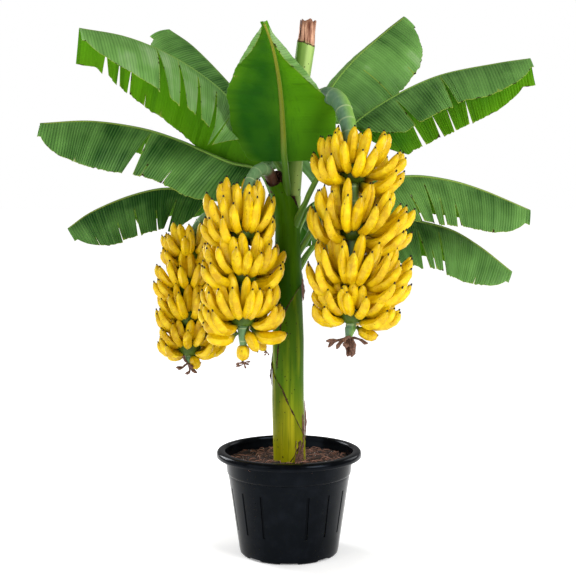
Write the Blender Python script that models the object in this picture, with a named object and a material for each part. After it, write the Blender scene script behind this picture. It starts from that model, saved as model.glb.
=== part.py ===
"""Dwarf banana plant with three ripe bunches, growing in a black nursery pot.

Metres, +Z up. The origin is the centre of the pot's flat underside, and -Y is the front.
The pot and its soil carry a leaning pseudostem with a cut stem on top. Eleven leaves and
three fruit stalks leave them, and each stalk carries its hands of bananas.
"""

import math
import random

import bmesh
import bpy
from mathutils import Vector

GAP = 0.0003  # between two pieces that touch

# Pot: a turned shell with a flat lip, a stepped collar, upright grooves and a notched foot
POT_HEIGHT = 0.309
POT_WALL = 0.0035
LIP_RADIUS = 0.2165
LIP_INNER_RADIUS = 0.190
LIP_DEPTH = 0.021
LIP_ROUNDING = 0.005
COLLAR_TOP_RADIUS = 0.1865
COLLAR_LOW_RADIUS = 0.1815
COLLAR_FOOT_RADIUS = 0.1770
COLLAR_ROUNDING = 0.008
STEP_HEIGHT = 0.239
BODY_TOP_RADIUS = 0.1745
BODY_FOOT_RADIUS = 0.1475
BODY_TOP_HEIGHT = 0.236
FOOT_BEVEL = 0.009
POT_SIDES = 40
GROOVE_PANELS = 4  # each with three grooves and a plain strip
GROOVE_STEPS = 16
GROOVE_SIZE = (0.006, 0.126)  # width and height
GROOVE_DEPTH = 0.0018
GROOVE_CENTRE = 0.139
FIRST_GROOVE = math.radians(-72)
FOOT_NOTCHES = 8
NOTCH_SIZE = (0.050, 0.006)  # width and height
NOTCH_RADIUS = 0.133

SOIL_EDGE = 0.275
SOIL_TOP = 0.279
SOIL_FLAT_RADIUS = 0.062

# Pseudostem and the cut stem above it: height, centre x, radius
PSEUDOSTEM = (
    (SOIL_TOP + GAP, 0.0015, 0.0465),
    (0.345, 0.0, 0.0444),
    (0.456, -0.0035, 0.0438),
    (0.636, -0.0033, 0.0437),
    (0.800, -0.0040, 0.0410),
    (0.960, -0.0045, 0.0368),
    (1.060, -0.0055, 0.0350),
)
CUT_STEM = (
    (1.060 + GAP, 0.0100, 0.0245),
    (1.154, 0.0190, 0.0240),
    (1.398, 0.0420, 0.0268),
    (1.498, 0.0515, 0.0262),
    (1.566, 0.0560, 0.0255),
)
STEM_SIDES = 14
CUT_STEM_TEETH = (0.004, -0.005, 0.007, -0.002)  # heights round the broken rim

# Torn sheath that the middle bunch's stalk comes out of: centre and radius of each ring
SPOUT = (
    ((-0.031, -0.010, 1.060 + 2 * GAP), 0.0150),
    ((-0.038, -0.019, 1.095), 0.0215),
    ((-0.048, -0.030, 1.142), 0.0270),
)
SPOUT_WALL = 0.004
SPOUT_FLOOR = (-0.0405, -0.0222, 1.100)

# Leaves
LEAF_THICKNESS = 0.0075
PETIOLE_RADIUS = 0.0115
RIB_TIP_RADIUS = 0.005
RIB_SIDES = 4
RIB_STEPS = 8
LEAF_COLUMNS = 7
LEAF_ROWS = 2
BASE_RAMP = 0.16  # share of the blade over which it widens
BLUNT_TIP = (2.0, 0.5, 0.25)  # how a half narrows: two powers, and the width left at the tip
POINTED_TIP = (1.2, 1.0, 0.03)
NARROW_BASE = 0.10  # width where the blade starts, as a share of the whole
BROAD_BASE = 0.45

# Bananas
FINGER_SIDES = 4
FINGER_STATIONS = ((0.0, 0.38), (0.33, 1.0), (0.76, 0.95), (1.0, 0.40))  # place, thickness
FINGER_LEAVES = math.radians(-25)  # a banana first hangs a little, then turns upright
FINGER_ENDS = math.radians(95)
FINGER_START = 0.024
INNER_REACH = 0.70  # the inner row's reach, as a share of the outer row's
INNER_LIFT = 0.036  # how far the inner row starts above the outer one
CROWN_RADIUS = 0.036
CROWN_HEIGHT = 0.056
TIP_CLEARANCE = 0.030  # between an inner tip and the crown of the hand above


def half(width, droop, slant=0.0, tears=(), widest=0.45, tip=BLUNT_TIP, base=NARROW_BASE):
    """One half of a blade: its width, its angle below level at rib and edge, the veins' lean
    towards the tip, its tears as (place along the blade, depth, opening), where it starts to
    narrow, and the shapes of its tip and base."""
    return {"width": width, "droop": droop, "slant": slant, "tears": tears,
            "widest": widest, "tip": tip, "base": base}


# Each leaf: the rib's path from inside the stem to the tip, where the blade starts along it,
# and its two halves, named by the hand they are on as seen from the stem.
LEAVES = {
    "leaf_upper_left": {
        "rib": ((0.009, 0.000, 1.090), (-0.079, 0.030, 1.224), (-0.172, 0.052, 1.346),
                (-0.262, 0.036, 1.421), (-0.365, 0.005, 1.480), (-0.466, -0.025, 1.518),
                (-0.585, -0.045, 1.538)),
        "blade_from": 0.30,
        "left": half(0.195, (30, 58), -0.30, (
            (0.16, 0.75, 0.022), (0.32, 0.80, 0.016), (0.45, 0.85, 0.018), (0.62, 0.85, 0.020))),
        "right": half(0.205, (58, 80), 0.0, (
            (0.40, 0.4, 0.012), (0.55, 0.45, 0.012), (0.72, 0.45, 0.015)), widest=0.10),
    },
    "leaf_upper_left_back": {
        "rib": ((0.010, 0.016, 1.131), (-0.068, 0.108, 1.257), (-0.172, 0.180, 1.392),
                (-0.288, 0.255, 1.527), (-0.372, 0.312, 1.587)),
        "blade_from": 0.34,
        "left": half(0.120, (20, 60), 0.0, ((0.40, 0.6, 0.010),)),
        "right": half(0.140, (50, 80), 0.0, ((0.30, 0.5, 0.012), (0.60, 0.6, 0.012))),
    },
    "leaf_left": {
        "rib": ((-0.025, 0.000, 1.014), (-0.083, 0.035, 1.114), (-0.173, 0.065, 1.120),
                (-0.248, 0.085, 1.168), (-0.327, 0.090, 1.225), (-0.440, 0.090, 1.262),
                (-0.593, 0.090, 1.282), (-0.741, 0.070, 1.274)),
        "blade_from": 0.33,
        "left": half(0.150, (48, 66), 0.22, (
            (0.17, 0.35, 0.008), (0.36, 0.35, 0.010), (0.48, 0.90, 0.022), (0.70, 0.4, 0.006))),
        "right": half(0.170, (74, 84), 0.12, (
            (0.42, 0.45, 0.014), (0.60, 0.35, 0.010)), widest=0.16),
    },
    "leaf_lower_left": {
        "rib": ((-0.012, 0.024, 0.945), (-0.095, 0.140, 1.018), (-0.210, 0.255, 1.052),
                (-0.305, 0.315, 1.071), (-0.397, 0.330, 1.086), (-0.515, 0.335, 1.060),
                (-0.637, 0.335, 1.008), (-0.709, 0.335, 0.955)),
        "blade_from": 0.44,
        "left": half(0.135, (54, 72), 0.05, (
            (0.28, 0.75, 0.010), (0.50, 0.3, 0.008), (0.66, 0.70, 0.010), (0.86, 0.3, 0.006))),
        "right": half(0.150, (72, 84), 0.0, ((0.35, 0.5, 0.010), (0.58, 0.5, 0.010))),
    },
    "leaf_front": {
        "rib": ((-0.006, -0.024, 1.066), (-0.012, -0.056, 1.150), (-0.022, -0.080, 1.264),
                (-0.036, -0.150, 1.374), (-0.050, -0.255, 1.460), (-0.066, -0.350, 1.516)),
        "blade_from": 0.17,
        "left": half(0.150, (1, 10), -0.06, ((0.44, 0.12, 0.010),), 0.34, POINTED_TIP, BROAD_BASE),
        "right": half(0.158, (1, 10), -0.06, ((0.30, 0.10, 0.010),), 0.34, POINTED_TIP, BROAD_BASE),
    },
    "leaf_upper_right_back": {
        "rib": ((0.026, 0.012, 1.180), (0.066, 0.072, 1.287), (0.123, 0.130, 1.388),
                (0.200, 0.205, 1.476), (0.316, 0.285, 1.580), (0.368, 0.325, 1.624)),
        "blade_from": 0.34,
        "left": half(0.090, (35, 80), 0.0, ((0.50, 0.6, 0.010),)),
        "right": half(0.165, (36, 66), 0.10, ((0.38, 0.85, 0.012), (0.66, 0.3, 0.010))),
    },
    "leaf_upper_right": {
        "rib": ((0.009, -0.010, 0.959), (0.044, -0.038, 1.040), (0.073, -0.030, 1.099),
                (0.131, -0.005, 1.204), (0.196, 0.015, 1.280), (0.305, 0.025, 1.353),
                (0.440, 0.025, 1.412), (0.600, 0.010, 1.443), (0.709, 0.000, 1.457)),
        "blade_from": 0.40,
        "left": half(0.180, (66, 80), 0.05, (
            (0.45, 0.4, 0.012), (0.64, 0.4, 0.010)), widest=0.10),
        "right": half(0.160, (34, 60), 0.10, (
            (0.25, 0.85, 0.016), (0.36, 0.3, 0.010), (0.55, 0.75, 0.022), (0.76, 0.3, 0.012))),
    },
    "leaf_right": {
        "rib": ((0.009, 0.010, 0.870), (0.053, 0.015, 0.938), (0.107, 0.045, 1.034),
                (0.212, 0.080, 1.100), (0.357, 0.095, 1.121), (0.473, 0.100, 1.109),
                (0.587, 0.110, 1.076), (0.738, 0.120, 1.016)),
        "blade_from": 0.36,
        "left": half(0.130, (64, 80), 0.10, ((0.42, 0.6, 0.012), (0.66, 0.4, 0.010))),
        "right": half(0.125, (50, 70), 0.20, (
            (0.14, 0.60, 0.016), (0.33, 0.85, 0.022), (0.52, 0.92, 0.016), (0.78, 0.25, 0.008))),
    },
    "leaf_lower_right": {
        "rib": ((0.009, 0.030, 0.815), (0.078, 0.085, 0.914), (0.186, 0.150, 0.972),
                (0.326, 0.185, 0.990), (0.485, 0.200, 0.958), (0.590, 0.210, 0.902),
                (0.698, 0.210, 0.824)),
        "blade_from": 0.44,
        "left": half(0.110, (60, 80), 0.10, ((0.40, 0.6, 0.012), (0.70, 0.4, 0.010))),
        "right": half(0.128, (50, 72), 0.25, (
            (0.14, 0.75, 0.022), (0.30, 0.70, 0.014), (0.44, 0.88, 0.012), (0.74, 0.2, 0.008))),
    },
    "leaf_back": {
        "rib": ((0.012, 0.015, 1.080), (0.004, 0.070, 1.150), (-0.004, 0.170, 1.222),
                (-0.016, 0.310, 1.262), (-0.030, 0.440, 1.245), (-0.040, 0.545, 1.180)),
        "blade_from": 0.34,
        "left": half(0.135, (30, 62), 0.05, ((0.35, 0.5, 0.012), (0.62, 0.6, 0.012))),
        "right": half(0.135, (30, 62), 0.05, ((0.28, 0.6, 0.012), (0.54, 0.5, 0.012))),
    },
    "leaf_lower_back": {
        "rib": ((0.010, 0.030, 0.900), (0.036, 0.105, 0.985), (0.075, 0.190, 1.040),
                (0.140, 0.300, 1.050), (0.215, 0.420, 1.000), (0.275, 0.500, 0.910)),
        "blade_from": 0.30,
        "left": half(0.125, (45, 72), 0.10, ((0.38, 0.5, 0.012), (0.66, 0.5, 0.012))),
        "right": half(0.125, (45, 72), 0.10, ((0.30, 0.6, 0.012), (0.58, 0.4, 0.012))),
    },
}

# Fruit stalks: path and radius from the stem, over the arch and straight down to the end
STALKS = {
    "right": (
        ((0.038, -0.008, 1.215), 0.020), ((0.068, -0.026, 1.315), 0.024),
        ((0.102, -0.058, 1.346), 0.025), ((0.138, -0.112, 1.332), 0.025),
        ((0.160, -0.165, 1.276), 0.023), ((0.170, -0.205, 1.205), 0.020),
        ((0.174, -0.220, 1.140), 0.017), ((0.174, -0.220, 0.900), 0.015),
        ((0.174, -0.220, 0.680), 0.012), ((0.174, -0.220, 0.650), 0.016),
        ((0.174, -0.220, 0.628), 0.008),
    ),
    "middle": (
        ((-0.041, -0.023, 1.102), 0.0150), ((-0.054, -0.040, 1.126), 0.0160),
        ((-0.074, -0.067, 1.138), 0.0160), ((-0.098, -0.104, 1.128), 0.016),
        ((-0.116, -0.136, 1.096), 0.016), ((-0.124, -0.150, 1.056), 0.015),
        ((-0.126, -0.150, 0.990), 0.014), ((-0.128, -0.150, 0.820), 0.013),
        ((-0.130, -0.150, 0.655), 0.010), ((-0.130, -0.150, 0.625), 0.015),
        ((-0.130, -0.150, 0.590), 0.011), ((-0.130, -0.150, 0.568), 0.006),
    ),
    "back": (
        ((-0.024, 0.000, 0.996), 0.014), ((-0.075, 0.026, 1.022), 0.014),
        ((-0.150, 0.066, 1.030), 0.014), ((-0.222, 0.094, 1.016), 0.013),
        ((-0.272, 0.105, 0.980), 0.012), ((-0.296, 0.105, 0.928), 0.012),
        ((-0.304, 0.105, 0.870), 0.012), ((-0.304, 0.105, 0.740), 0.011),
        ((-0.304, 0.105, 0.590), 0.008), ((-0.304, 0.105, 0.565), 0.013),
        ((-0.304, 0.105, 0.545), 0.006),
    ),
}
STALK_SIDES = 10

# Hands on each stalk, from the top: crown height, reach, rise of the outer row, bananas in
# the outer and inner rows. lean is how much further the bananas reach towards +X.
BUNCHES = {
    "right": {
        "finger_radius": 0.0210,
        "lean": 0.10,
        "hands": ((1.104, 0.136, 0.130, 12, 8), (0.972, 0.140, 0.132, 12, 6),
                  (0.838, 0.140, 0.130, 12, 6), (0.722, 0.122, 0.116, 11, 5)),
    },
    "middle": {
        "finger_radius": 0.0200,
        "lean": 0.0,
        "hands": ((0.986, 0.114, 0.124, 11, 6), (0.850, 0.122, 0.130, 11, 5),
                  (0.726, 0.122, 0.120, 11, 5)),
    },
    "back": {
        "finger_radius": 0.0182,
        "lean": 0.0,
        "hands": ((0.884, 0.096, 0.108, 9, 5), (0.792, 0.100, 0.092, 9, 4),
                  (0.698, 0.098, 0.092, 9, 4), (0.616, 0.088, 0.080, 9, 4)),
    },
}
# The middle stalk ends in a thin hand of two level bananas: azimuth, height, length
STRAY_BANANAS = ((178, 0.672, 0.105), (352, 0.662, 0.122))

COLOURS = {
    "pot_plastic": ((0.012, 0.013, 0.014), 0.30),
    "soil": ((0.045, 0.024, 0.016), 0.95),
    "stem_green": ((0.26, 0.36, 0.06), 0.45),
    "stalk_green": ((0.22, 0.34, 0.08), 0.50),
    "leaf_green": ((0.045, 0.19, 0.025), 0.40),
    "banana_yellow": ((0.86, 0.55, 0.015), 0.45),
}


def clear_scene():
    for item in list(bpy.data.objects):
        bpy.data.objects.remove(item, do_unlink=True)


def surface(name):
    """The plain material of one kind of piece."""
    found = bpy.data.materials.get(name)
    if found:
        return found
    colour, roughness = COLOURS[name]
    made = bpy.data.materials.new(name)
    made.use_nodes = True
    shader = made.node_tree.nodes["Principled BSDF"]
    shader.inputs["Base Color"].default_value = (*colour, 1.0)
    shader.inputs["Roughness"].default_value = roughness
    shader.inputs["Metallic"].default_value = 0.0
    return made


def solid(name, points, faces):
    """A new object from points and faces, with its faces turned to point out."""
    mesh = bpy.data.meshes.new(name)
    mesh.from_pydata([tuple(p) for p in points], [], faces)
    shape = bmesh.new()
    shape.from_mesh(mesh)
    bmesh.ops.recalc_face_normals(shape, faces=shape.faces)
    shape.to_mesh(mesh)
    shape.free()
    made = bpy.data.objects.new(name, mesh)
    bpy.context.scene.collection.objects.link(made)
    return made


def finish(item, colour):
    """Give a finished piece its material, and smooth shading where it is round."""
    item.data.materials.clear()
    item.data.materials.append(surface(colour))
    item.data.shade_smooth()
    item.data.set_sharp_from_angle(angle=math.radians(40))
    return item


def apply_boolean(body, operation, others):
    """Join the others to the body, or cut them out of it, and remove them."""
    group = bpy.data.collections.new("operands")
    bpy.context.scene.collection.children.link(group)
    for item in others:
        group.objects.link(item)
    step = body.modifiers.new("Boolean", "BOOLEAN")
    step.operation = operation
    step.operand_type = "COLLECTION"
    step.collection = group
    step.solver = "MANIFOLD"
    bpy.context.view_layer.update()
    graph = bpy.context.evaluated_depsgraph_get()
    result = bpy.data.meshes.new_from_object(body.evaluated_get(graph))
    body.modifiers.clear()
    body.data = result
    for item in others:
        bpy.data.objects.remove(item, do_unlink=True)
    bpy.data.collections.remove(group)
    return body


def ring_faces(rings, sides):
    """Faces of a skin over rings of points, with both ends capped."""
    faces = [tuple(reversed(range(sides)))]
    for r in range(rings - 1):
        for k in range(sides):
            a, b = r * sides + k, r * sides + (k + 1) % sides
            faces.append((a, b, b + sides, a + sides))
    last = (rings - 1) * sides
    faces.append(tuple(range(last, last + sides)))
    return faces


def turned(name, profile, sides):
    """A solid turned about Z from (radius, height) pairs that start and end on the axis."""
    points = [Vector((0, 0, profile[0][1])), Vector((0, 0, profile[-1][1]))]
    rings = profile[1:-1]
    for radius, height in rings:
        for k in range(sides):
            angle = math.tau * k / sides
            points.append(Vector((radius * math.cos(angle), radius * math.sin(angle), height)))
    faces = []
    for k in range(sides):
        after = (k + 1) % sides
        for r in range(len(rings) - 1):
            low, high = 2 + r * sides, 2 + (r + 1) * sides
            faces.append((low + k, low + after, high + after, high + k))
        last = 2 + (len(rings) - 1) * sides
        faces.append((0, 2 + after, 2 + k))
        faces.append((1, last + k, last + after))
    return solid(name, points, faces)


def column(name, levels, sides, grow=0.0):
    """A stem with level rings, from (height, centre x, radius) triples."""
    points = []
    for height, x, radius in levels:
        for k in range(sides):
            angle = math.tau * k / sides
            reach = radius + grow
            points.append(Vector((x + reach * math.cos(angle), reach * math.sin(angle), height)))
    return solid(name, points, ring_faces(len(levels), sides))


def smooth_path(controls, steps):
    """Points at even distances along a Catmull-Rom curve through the controls."""
    knots = [Vector(p) for p in controls]
    knots = [2 * knots[0] - knots[1], *knots, 2 * knots[-1] - knots[-2]]
    fine = []
    for a, b, c, d in zip(knots, knots[1:], knots[2:], knots[3:]):
        for k in range(12):
            t = k / 12
            fine.append(0.5 * (2 * b + (c - a) * t + (2 * a - 5 * b + 4 * c - d) * t * t
                               + (3 * b - a - 3 * c + d) * t ** 3))
    fine.append(knots[-2])
    lengths = [0.0]
    for before, after in zip(fine, fine[1:]):
        lengths.append(lengths[-1] + (after - before).length)
    path, place = [], 0
    for k in range(steps + 1):
        target = lengths[-1] * k / steps
        while place < len(fine) - 2 and lengths[place + 1] < target:
            place += 1
        share = (target - lengths[place]) / (lengths[place + 1] - lengths[place])
        path.append(fine[place].lerp(fine[place + 1], share))
    return path


def tube(name, path, radii, sides):
    """A closed tube along a path. Its rings turn with the path and don't twist."""
    points = []
    across = None
    for k, point in enumerate(path):
        along = (path[min(k + 1, len(path) - 1)] - path[max(k - 1, 0)]).normalized()
        if across is None:
            across = along.orthogonal().normalized()
        across = (across - along * across.dot(along)).normalized()
        beside = along.cross(across)
        for j in range(sides):
            angle = math.tau * j / sides
            points.append(point + radii[k] * (math.cos(angle) * across + math.sin(angle) * beside))
    return solid(name, points, ring_faces(len(path), sides))


def block(outward, across, low, high, radii, width):
    """An upright box between two heights. radii are its inner and outer ones at each height."""
    points = []
    for z, (inner, outer) in zip((low, high), radii):
        for side, radius in ((-1, inner), (1, inner), (1, outer), (-1, outer)):
            points.append(outward * radius + across * side * width / 2 + Vector((0, 0, z)))
    return solid("block", points, ring_faces(2, 4))


def make_pot():
    lip_foot = POT_HEIGHT - LIP_DEPTH
    outside = (
        (0, 0),
        (BODY_FOOT_RADIUS - 0.005, 0),
        (BODY_FOOT_RADIUS, FOOT_BEVEL),
        (BODY_TOP_RADIUS, BODY_TOP_HEIGHT),
        (COLLAR_FOOT_RADIUS, STEP_HEIGHT),
        (COLLAR_LOW_RADIUS, STEP_HEIGHT + COLLAR_ROUNDING),
        (COLLAR_TOP_RADIUS, lip_foot),
        (LIP_RADIUS - 0.002, lip_foot),
        (LIP_RADIUS, lip_foot + LIP_ROUNDING),
        (LIP_RADIUS - LIP_ROUNDING, POT_HEIGHT),
        (LIP_INNER_RADIUS + 0.002, POT_HEIGHT),
    )
    inside = (
        (LIP_INNER_RADIUS, POT_HEIGHT - 0.003),
        (COLLAR_TOP_RADIUS - POT_WALL, lip_foot),
        (COLLAR_FOOT_RADIUS - POT_WALL, STEP_HEIGHT),
        (BODY_TOP_RADIUS - POT_WALL, BODY_TOP_HEIGHT),
        (BODY_FOOT_RADIUS - POT_WALL, FOOT_BEVEL),
        (0, FOOT_BEVEL),
    )
    pot = turned("pot", outside + inside, POT_SIDES)

    # The wall leans out towards the top, and the grooves follow it
    lean = (BODY_TOP_RADIUS - BODY_FOOT_RADIUS) / (BODY_TOP_HEIGHT - FOOT_BEVEL)
    width, height = GROOVE_SIZE
    ends = (GROOVE_CENTRE - height / 2, GROOVE_CENTRE + height / 2)
    walls = [(BODY_FOOT_RADIUS + lean * (z - FOOT_BEVEL)) * math.cos(math.pi / POT_SIDES)
             for z in ends]
    cutters = []
    for k in range(GROOVE_STEPS):
        if k % GROOVE_PANELS == GROOVE_PANELS - 1:
            continue
        angle = FIRST_GROOVE + math.tau * k / GROOVE_STEPS
        outward = Vector((math.cos(angle), math.sin(angle), 0))
        across = Vector((-math.sin(angle), math.cos(angle), 0))
        radii = [(wall - GROOVE_DEPTH, wall + 0.01) for wall in walls]
        cutters.append(block(outward, across, *ends, radii, width))
    width, height = NOTCH_SIZE
    for k in range(FOOT_NOTCHES):
        angle = math.tau * k / FOOT_NOTCHES
        outward = Vector((math.cos(angle), math.sin(angle), 0))
        across = Vector((-math.sin(angle), math.cos(angle), 0))
        radii = [(NOTCH_RADIUS, LIP_RADIUS)] * 2
        cutters.append(block(outward, across, -0.01, height, radii, width))
    return finish(apply_boolean(pot, "DIFFERENCE", cutters), "pot_plastic")


def make_soil():
    """The potting soil fills the pot and stands slightly higher round the stem."""
    lean = (COLLAR_TOP_RADIUS - COLLAR_FOOT_RADIUS) / (POT_HEIGHT - LIP_DEPTH - STEP_HEIGHT)
    edge_radius = COLLAR_FOOT_RADIUS - POT_WALL + lean * (SOIL_EDGE - STEP_HEIGHT)
    profile = (
        (0, FOOT_BEVEL + GAP),
        (BODY_FOOT_RADIUS - POT_WALL - GAP, FOOT_BEVEL + GAP),
        (BODY_TOP_RADIUS - POT_WALL - GAP, BODY_TOP_HEIGHT),
        (COLLAR_FOOT_RADIUS - POT_WALL - 2 * GAP, STEP_HEIGHT),
        (edge_radius - GAP, SOIL_EDGE),
        ((edge_radius + SOIL_FLAT_RADIUS) / 2, (SOIL_EDGE + SOIL_TOP) / 2),
        (SOIL_FLAT_RADIUS, SOIL_TOP),
        (0, SOIL_TOP),
    )
    return finish(turned("soil", profile, POT_SIDES), "soil")


def make_stems():
    finish(column("pseudostem", PSEUDOSTEM, STEM_SIDES), "stem_green")
    stem = column("cut_stem", CUT_STEM, STEM_SIDES)
    rim = stem.data.vertices[-STEM_SIDES:]
    for k, vertex in enumerate(rim):
        vertex.co.z += CUT_STEM_TEETH[k % len(CUT_STEM_TEETH)]
    finish(stem, "stem_green")


def stem_cutters():
    """The two stems, larger by the gap, to cut a neighbour clear of them."""
    low = (PSEUDOSTEM[0][0] - 0.01, *PSEUDOSTEM[0][1:])
    high = (CUT_STEM[-1][0] + 0.01, *CUT_STEM[-1][1:])
    lower = column("cutter", (low, *PSEUDOSTEM[1:-1], (CUT_STEM[0][0], *PSEUDOSTEM[-1][1:])),
                   STEM_SIDES, GAP)
    upper = column("cutter", (*CUT_STEM[:-1], high), STEM_SIDES, GAP)
    return [lower, upper]


def make_spout():
    """A short cup of sheath, open at the top, on the left of the cut stem."""
    path = [Vector(centre) for centre, _ in SPOUT]
    spout = tube("sheath_spout", path, [radius for _, radius in SPOUT], STEM_SIDES)
    foot = Vector(SPOUT_FLOOR)
    mouth = path[-1] + (path[-1] - foot) * 0.2
    hollow = tube("hollow", [foot, mouth], [SPOUT[1][1] - SPOUT_WALL, SPOUT[2][1]], STEM_SIDES)
    stalk = stalk_tube("cutter", "middle", GAP)
    apply_boolean(spout, "DIFFERENCE", [hollow, stalk, *stem_cutters()])
    return finish(spout, "stem_green")


def outline(blade_half, t):
    """Width of half a blade at t, as a share of its greatest."""
    base = blade_half["base"]
    width = base + (1 - base) * math.sqrt(min(1.0, t / BASE_RAMP))
    fall = max(0.0, (t - blade_half["widest"]) / (1 - blade_half["widest"]))
    inner, outer, least = blade_half["tip"]
    return width * max((1 - fall ** inner) ** outer, least)


def rib_frames(leaf, places):
    """Point, tangent, level right-hand side and downward direction at places on the blade."""
    path = smooth_path(leaf["rib"], 60)
    frames = []
    for t in places:
        place = (leaf["blade_from"] + (1 - leaf["blade_from"]) * t) * 60
        low = min(int(place), 59)
        point = path[low].lerp(path[low + 1], place - low)
        tangent = (path[min(low + 2, 60)] - path[max(low - 1, 0)]).normalized()
        side = tangent.cross(Vector((0, 0, 1))).normalized()
        frames.append((point, tangent, side, tangent.cross(side)))
    return frames


def blade_point(frame, blade_half, hand, t, w, extra_droop=0.0, shift=0.0):
    """A point at share w of the way from the rib to the edge. The half bends down as an arc.
    hand is 1 for the right half and -1 for the left one."""
    point, tangent, side, down = frame
    start, end = (math.radians(a) for a in blade_half["droop"])
    end += math.radians(extra_droop)
    turn = end - start
    angle = start + turn * w
    out = (math.sin(angle) - math.sin(start)) / turn
    drop = (math.cos(start) - math.cos(angle)) / turn
    reach = blade_half["width"] * outline(blade_half, t)
    along = blade_half["slant"] * reach * w + shift
    return point + reach * (hand * side * out + down * drop) + tangent * along


def strip_droops(blade_half, seed):
    """How much further each strip between two tears hangs down, in degrees."""
    pick = random.Random(seed)
    return [pick.uniform(-5, 9) for _ in range(len(blade_half["tears"]) + 1)]


def make_blade(name, leaf):
    """The blade as one sheet of even thickness, slit at its tears."""
    cuts = sorted(tear[0] for key in ("left", "right") for tear in leaf[key]["tears"])
    places = [k / LEAF_COLUMNS for k in range(LEAF_COLUMNS + 1)]
    places = [t for t in places if all(abs(t - cut) > 0.045 for cut in cuts)]
    places = sorted({0.0, 1.0, *places, *cuts})
    frames = rib_frames(leaf, places)
    points = [frame[0] for frame in frames]
    faces = []
    for hand, key in ((-1, "left"), (1, "right")):
        blade_half = leaf[key]
        tears = {tear[0]: tear for tear in blade_half["tears"]}
        droops = strip_droops(blade_half, name + key)
        strip = 0
        before = None
        for column_index, (t, frame) in enumerate(zip(places, frames)):
            tear = tears.get(t)
            sides = {}
            for edge in (-1, 1):  # the side of a tear towards the stem, then the tip's
                if edge == 1 and tear:
                    strip += 1
                rows = [column_index]
                for row in range(1, LEAF_ROWS + 1):
                    w = row / LEAF_ROWS
                    opened = tear and w > 1 - tear[1] + 0.01
                    if edge == 1 and not opened:
                        rows.append(sides[-1][row])
                        continue
                    shift = edge * tear[2] / 2 * w if opened else 0.0
                    points.append(blade_point(frame, blade_half, hand, t, w, droops[strip], shift))
                    rows.append(len(points) - 1)
                sides[edge] = rows
            if before:
                after = sides[-1]
                for row in range(LEAF_ROWS):
                    quad = (before[row], after[row], after[row + 1], before[row + 1])
                    faces.append(quad if hand == 1 else quad[::-1])
            before = sides[1]
    return thicken(name, points, faces)


def thicken(name, points, faces):
    """A closed sheet of LEAF_THICKNESS round a single layer of faces."""
    mesh = bpy.data.meshes.new(name)
    mesh.from_pydata([tuple(p) for p in points], [], faces)
    layer = bmesh.new()
    layer.from_mesh(mesh)
    layer.normal_update()
    count = len(layer.verts)
    half_thick = LEAF_THICKNESS / 2
    skin = [v.co + v.normal * half_thick for v in layer.verts]
    skin += [v.co - v.normal * half_thick for v in layer.verts]
    sheet = [tuple(face) for face in faces]
    sheet += [tuple(k + count for k in reversed(face)) for face in faces]
    for edge in layer.edges:
        if edge.is_boundary:
            a, b = (vertex.index for vertex in edge.verts)
            sheet.append((a, b, b + count, a + count))
    layer.free()
    bpy.data.meshes.remove(mesh)
    return solid(name, skin, sheet)


def make_leaf(name, leaf):
    """A blade fused to its petiole and rib, and cut clear of the stems."""
    blade = make_blade(name, leaf)
    path = smooth_path(leaf["rib"], RIB_STEPS)[:-1]
    radii = [PETIOLE_RADIUS + (RIB_TIP_RADIUS - PETIOLE_RADIUS) * k / (RIB_STEPS - 1)
             for k in range(RIB_STEPS)]
    rib = tube("rib", path, radii, RIB_SIDES)
    apply_boolean(blade, "UNION", [rib])
    apply_boolean(blade, "DIFFERENCE", stem_cutters())
    return finish(blade, "leaf_green")


def stalk_tube(name, stalk, grow=0.0):
    path = [Vector(point) for point, _ in STALKS[stalk]]
    radii = [radius + grow for _, radius in STALKS[stalk]]
    return tube(name, path, radii, STALK_SIDES)


def make_stalk(stalk):
    body = stalk_tube("stalk_" + stalk, stalk)
    if stalk != "middle":
        apply_boolean(body, "DIFFERENCE", stem_cutters())
    return finish(body, "stalk_green")


def stalk_centre(stalk, height):
    """The stalk's centre at a height on its straight lower run."""
    run = [Vector(point) for point, _ in STALKS[stalk]][5:]
    for above, below in zip(run, run[1:]):
        if below.z <= height:
            share = (above.z - height) / (above.z - below.z)
            return above.lerp(below, share)
    return run[-1]


def banana_point(crown, azimuth, base, reach, rise, s):
    """The centre of a banana at s. It leaves the crown a little downwards and ends upright."""
    angle = FINGER_LEAVES + (FINGER_ENDS - FINGER_LEAVES) * s
    out = (math.sin(angle) - math.sin(FINGER_LEAVES)) / (1 - math.sin(FINGER_LEAVES))
    up = (math.cos(FINGER_LEAVES) - math.cos(angle)) / (
        math.cos(FINGER_LEAVES) - math.cos(FINGER_ENDS))
    across = FINGER_START + (reach - FINGER_START) * out
    return crown + Vector((across * math.cos(azimuth), across * math.sin(azimuth),
                           base + rise * up))


def banana(crown, azimuth, base, reach, rise, radius):
    """One banana: a thin stalk, a four-sided body that curves up, and a blunt end."""
    path = [banana_point(crown, azimuth, base, reach, rise, s) for s, _ in FINGER_STATIONS]
    return tube("banana", path, [radius * share for _, share in FINGER_STATIONS], FINGER_SIDES)


def hand_bananas(stalk, index):
    """Azimuth, start, reach, rise of each banana of a hand, in an outer and an inner row."""
    bunch = BUNCHES[stalk]
    height, reach, rise, outer, inner = bunch["hands"][index]
    pick = random.Random(f"{stalk} {index}")
    above = bunch["hands"][index - 1][0] if index else height + 1.0
    most = above - height
    rows = (
        (outer, 0.0, reach, min(rise, most), 0.0),
        (inner, INNER_LIFT, reach * INNER_REACH, min(rise, most - INNER_LIFT - TIP_CLEARANCE), 0.5),
    )
    turned_by = pick.uniform(0, math.tau)
    for count, base, row_reach, row_rise, offset in rows:
        for k in range(count):
            azimuth = turned_by + math.tau * (k + offset) / count + pick.uniform(-0.05, 0.05)
            stretch = 1 + bunch["lean"] * math.cos(azimuth) + pick.uniform(-0.05, 0.03)
            yield azimuth, base, row_reach * stretch, row_rise * (1 + pick.uniform(-0.10, 0.0))


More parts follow.
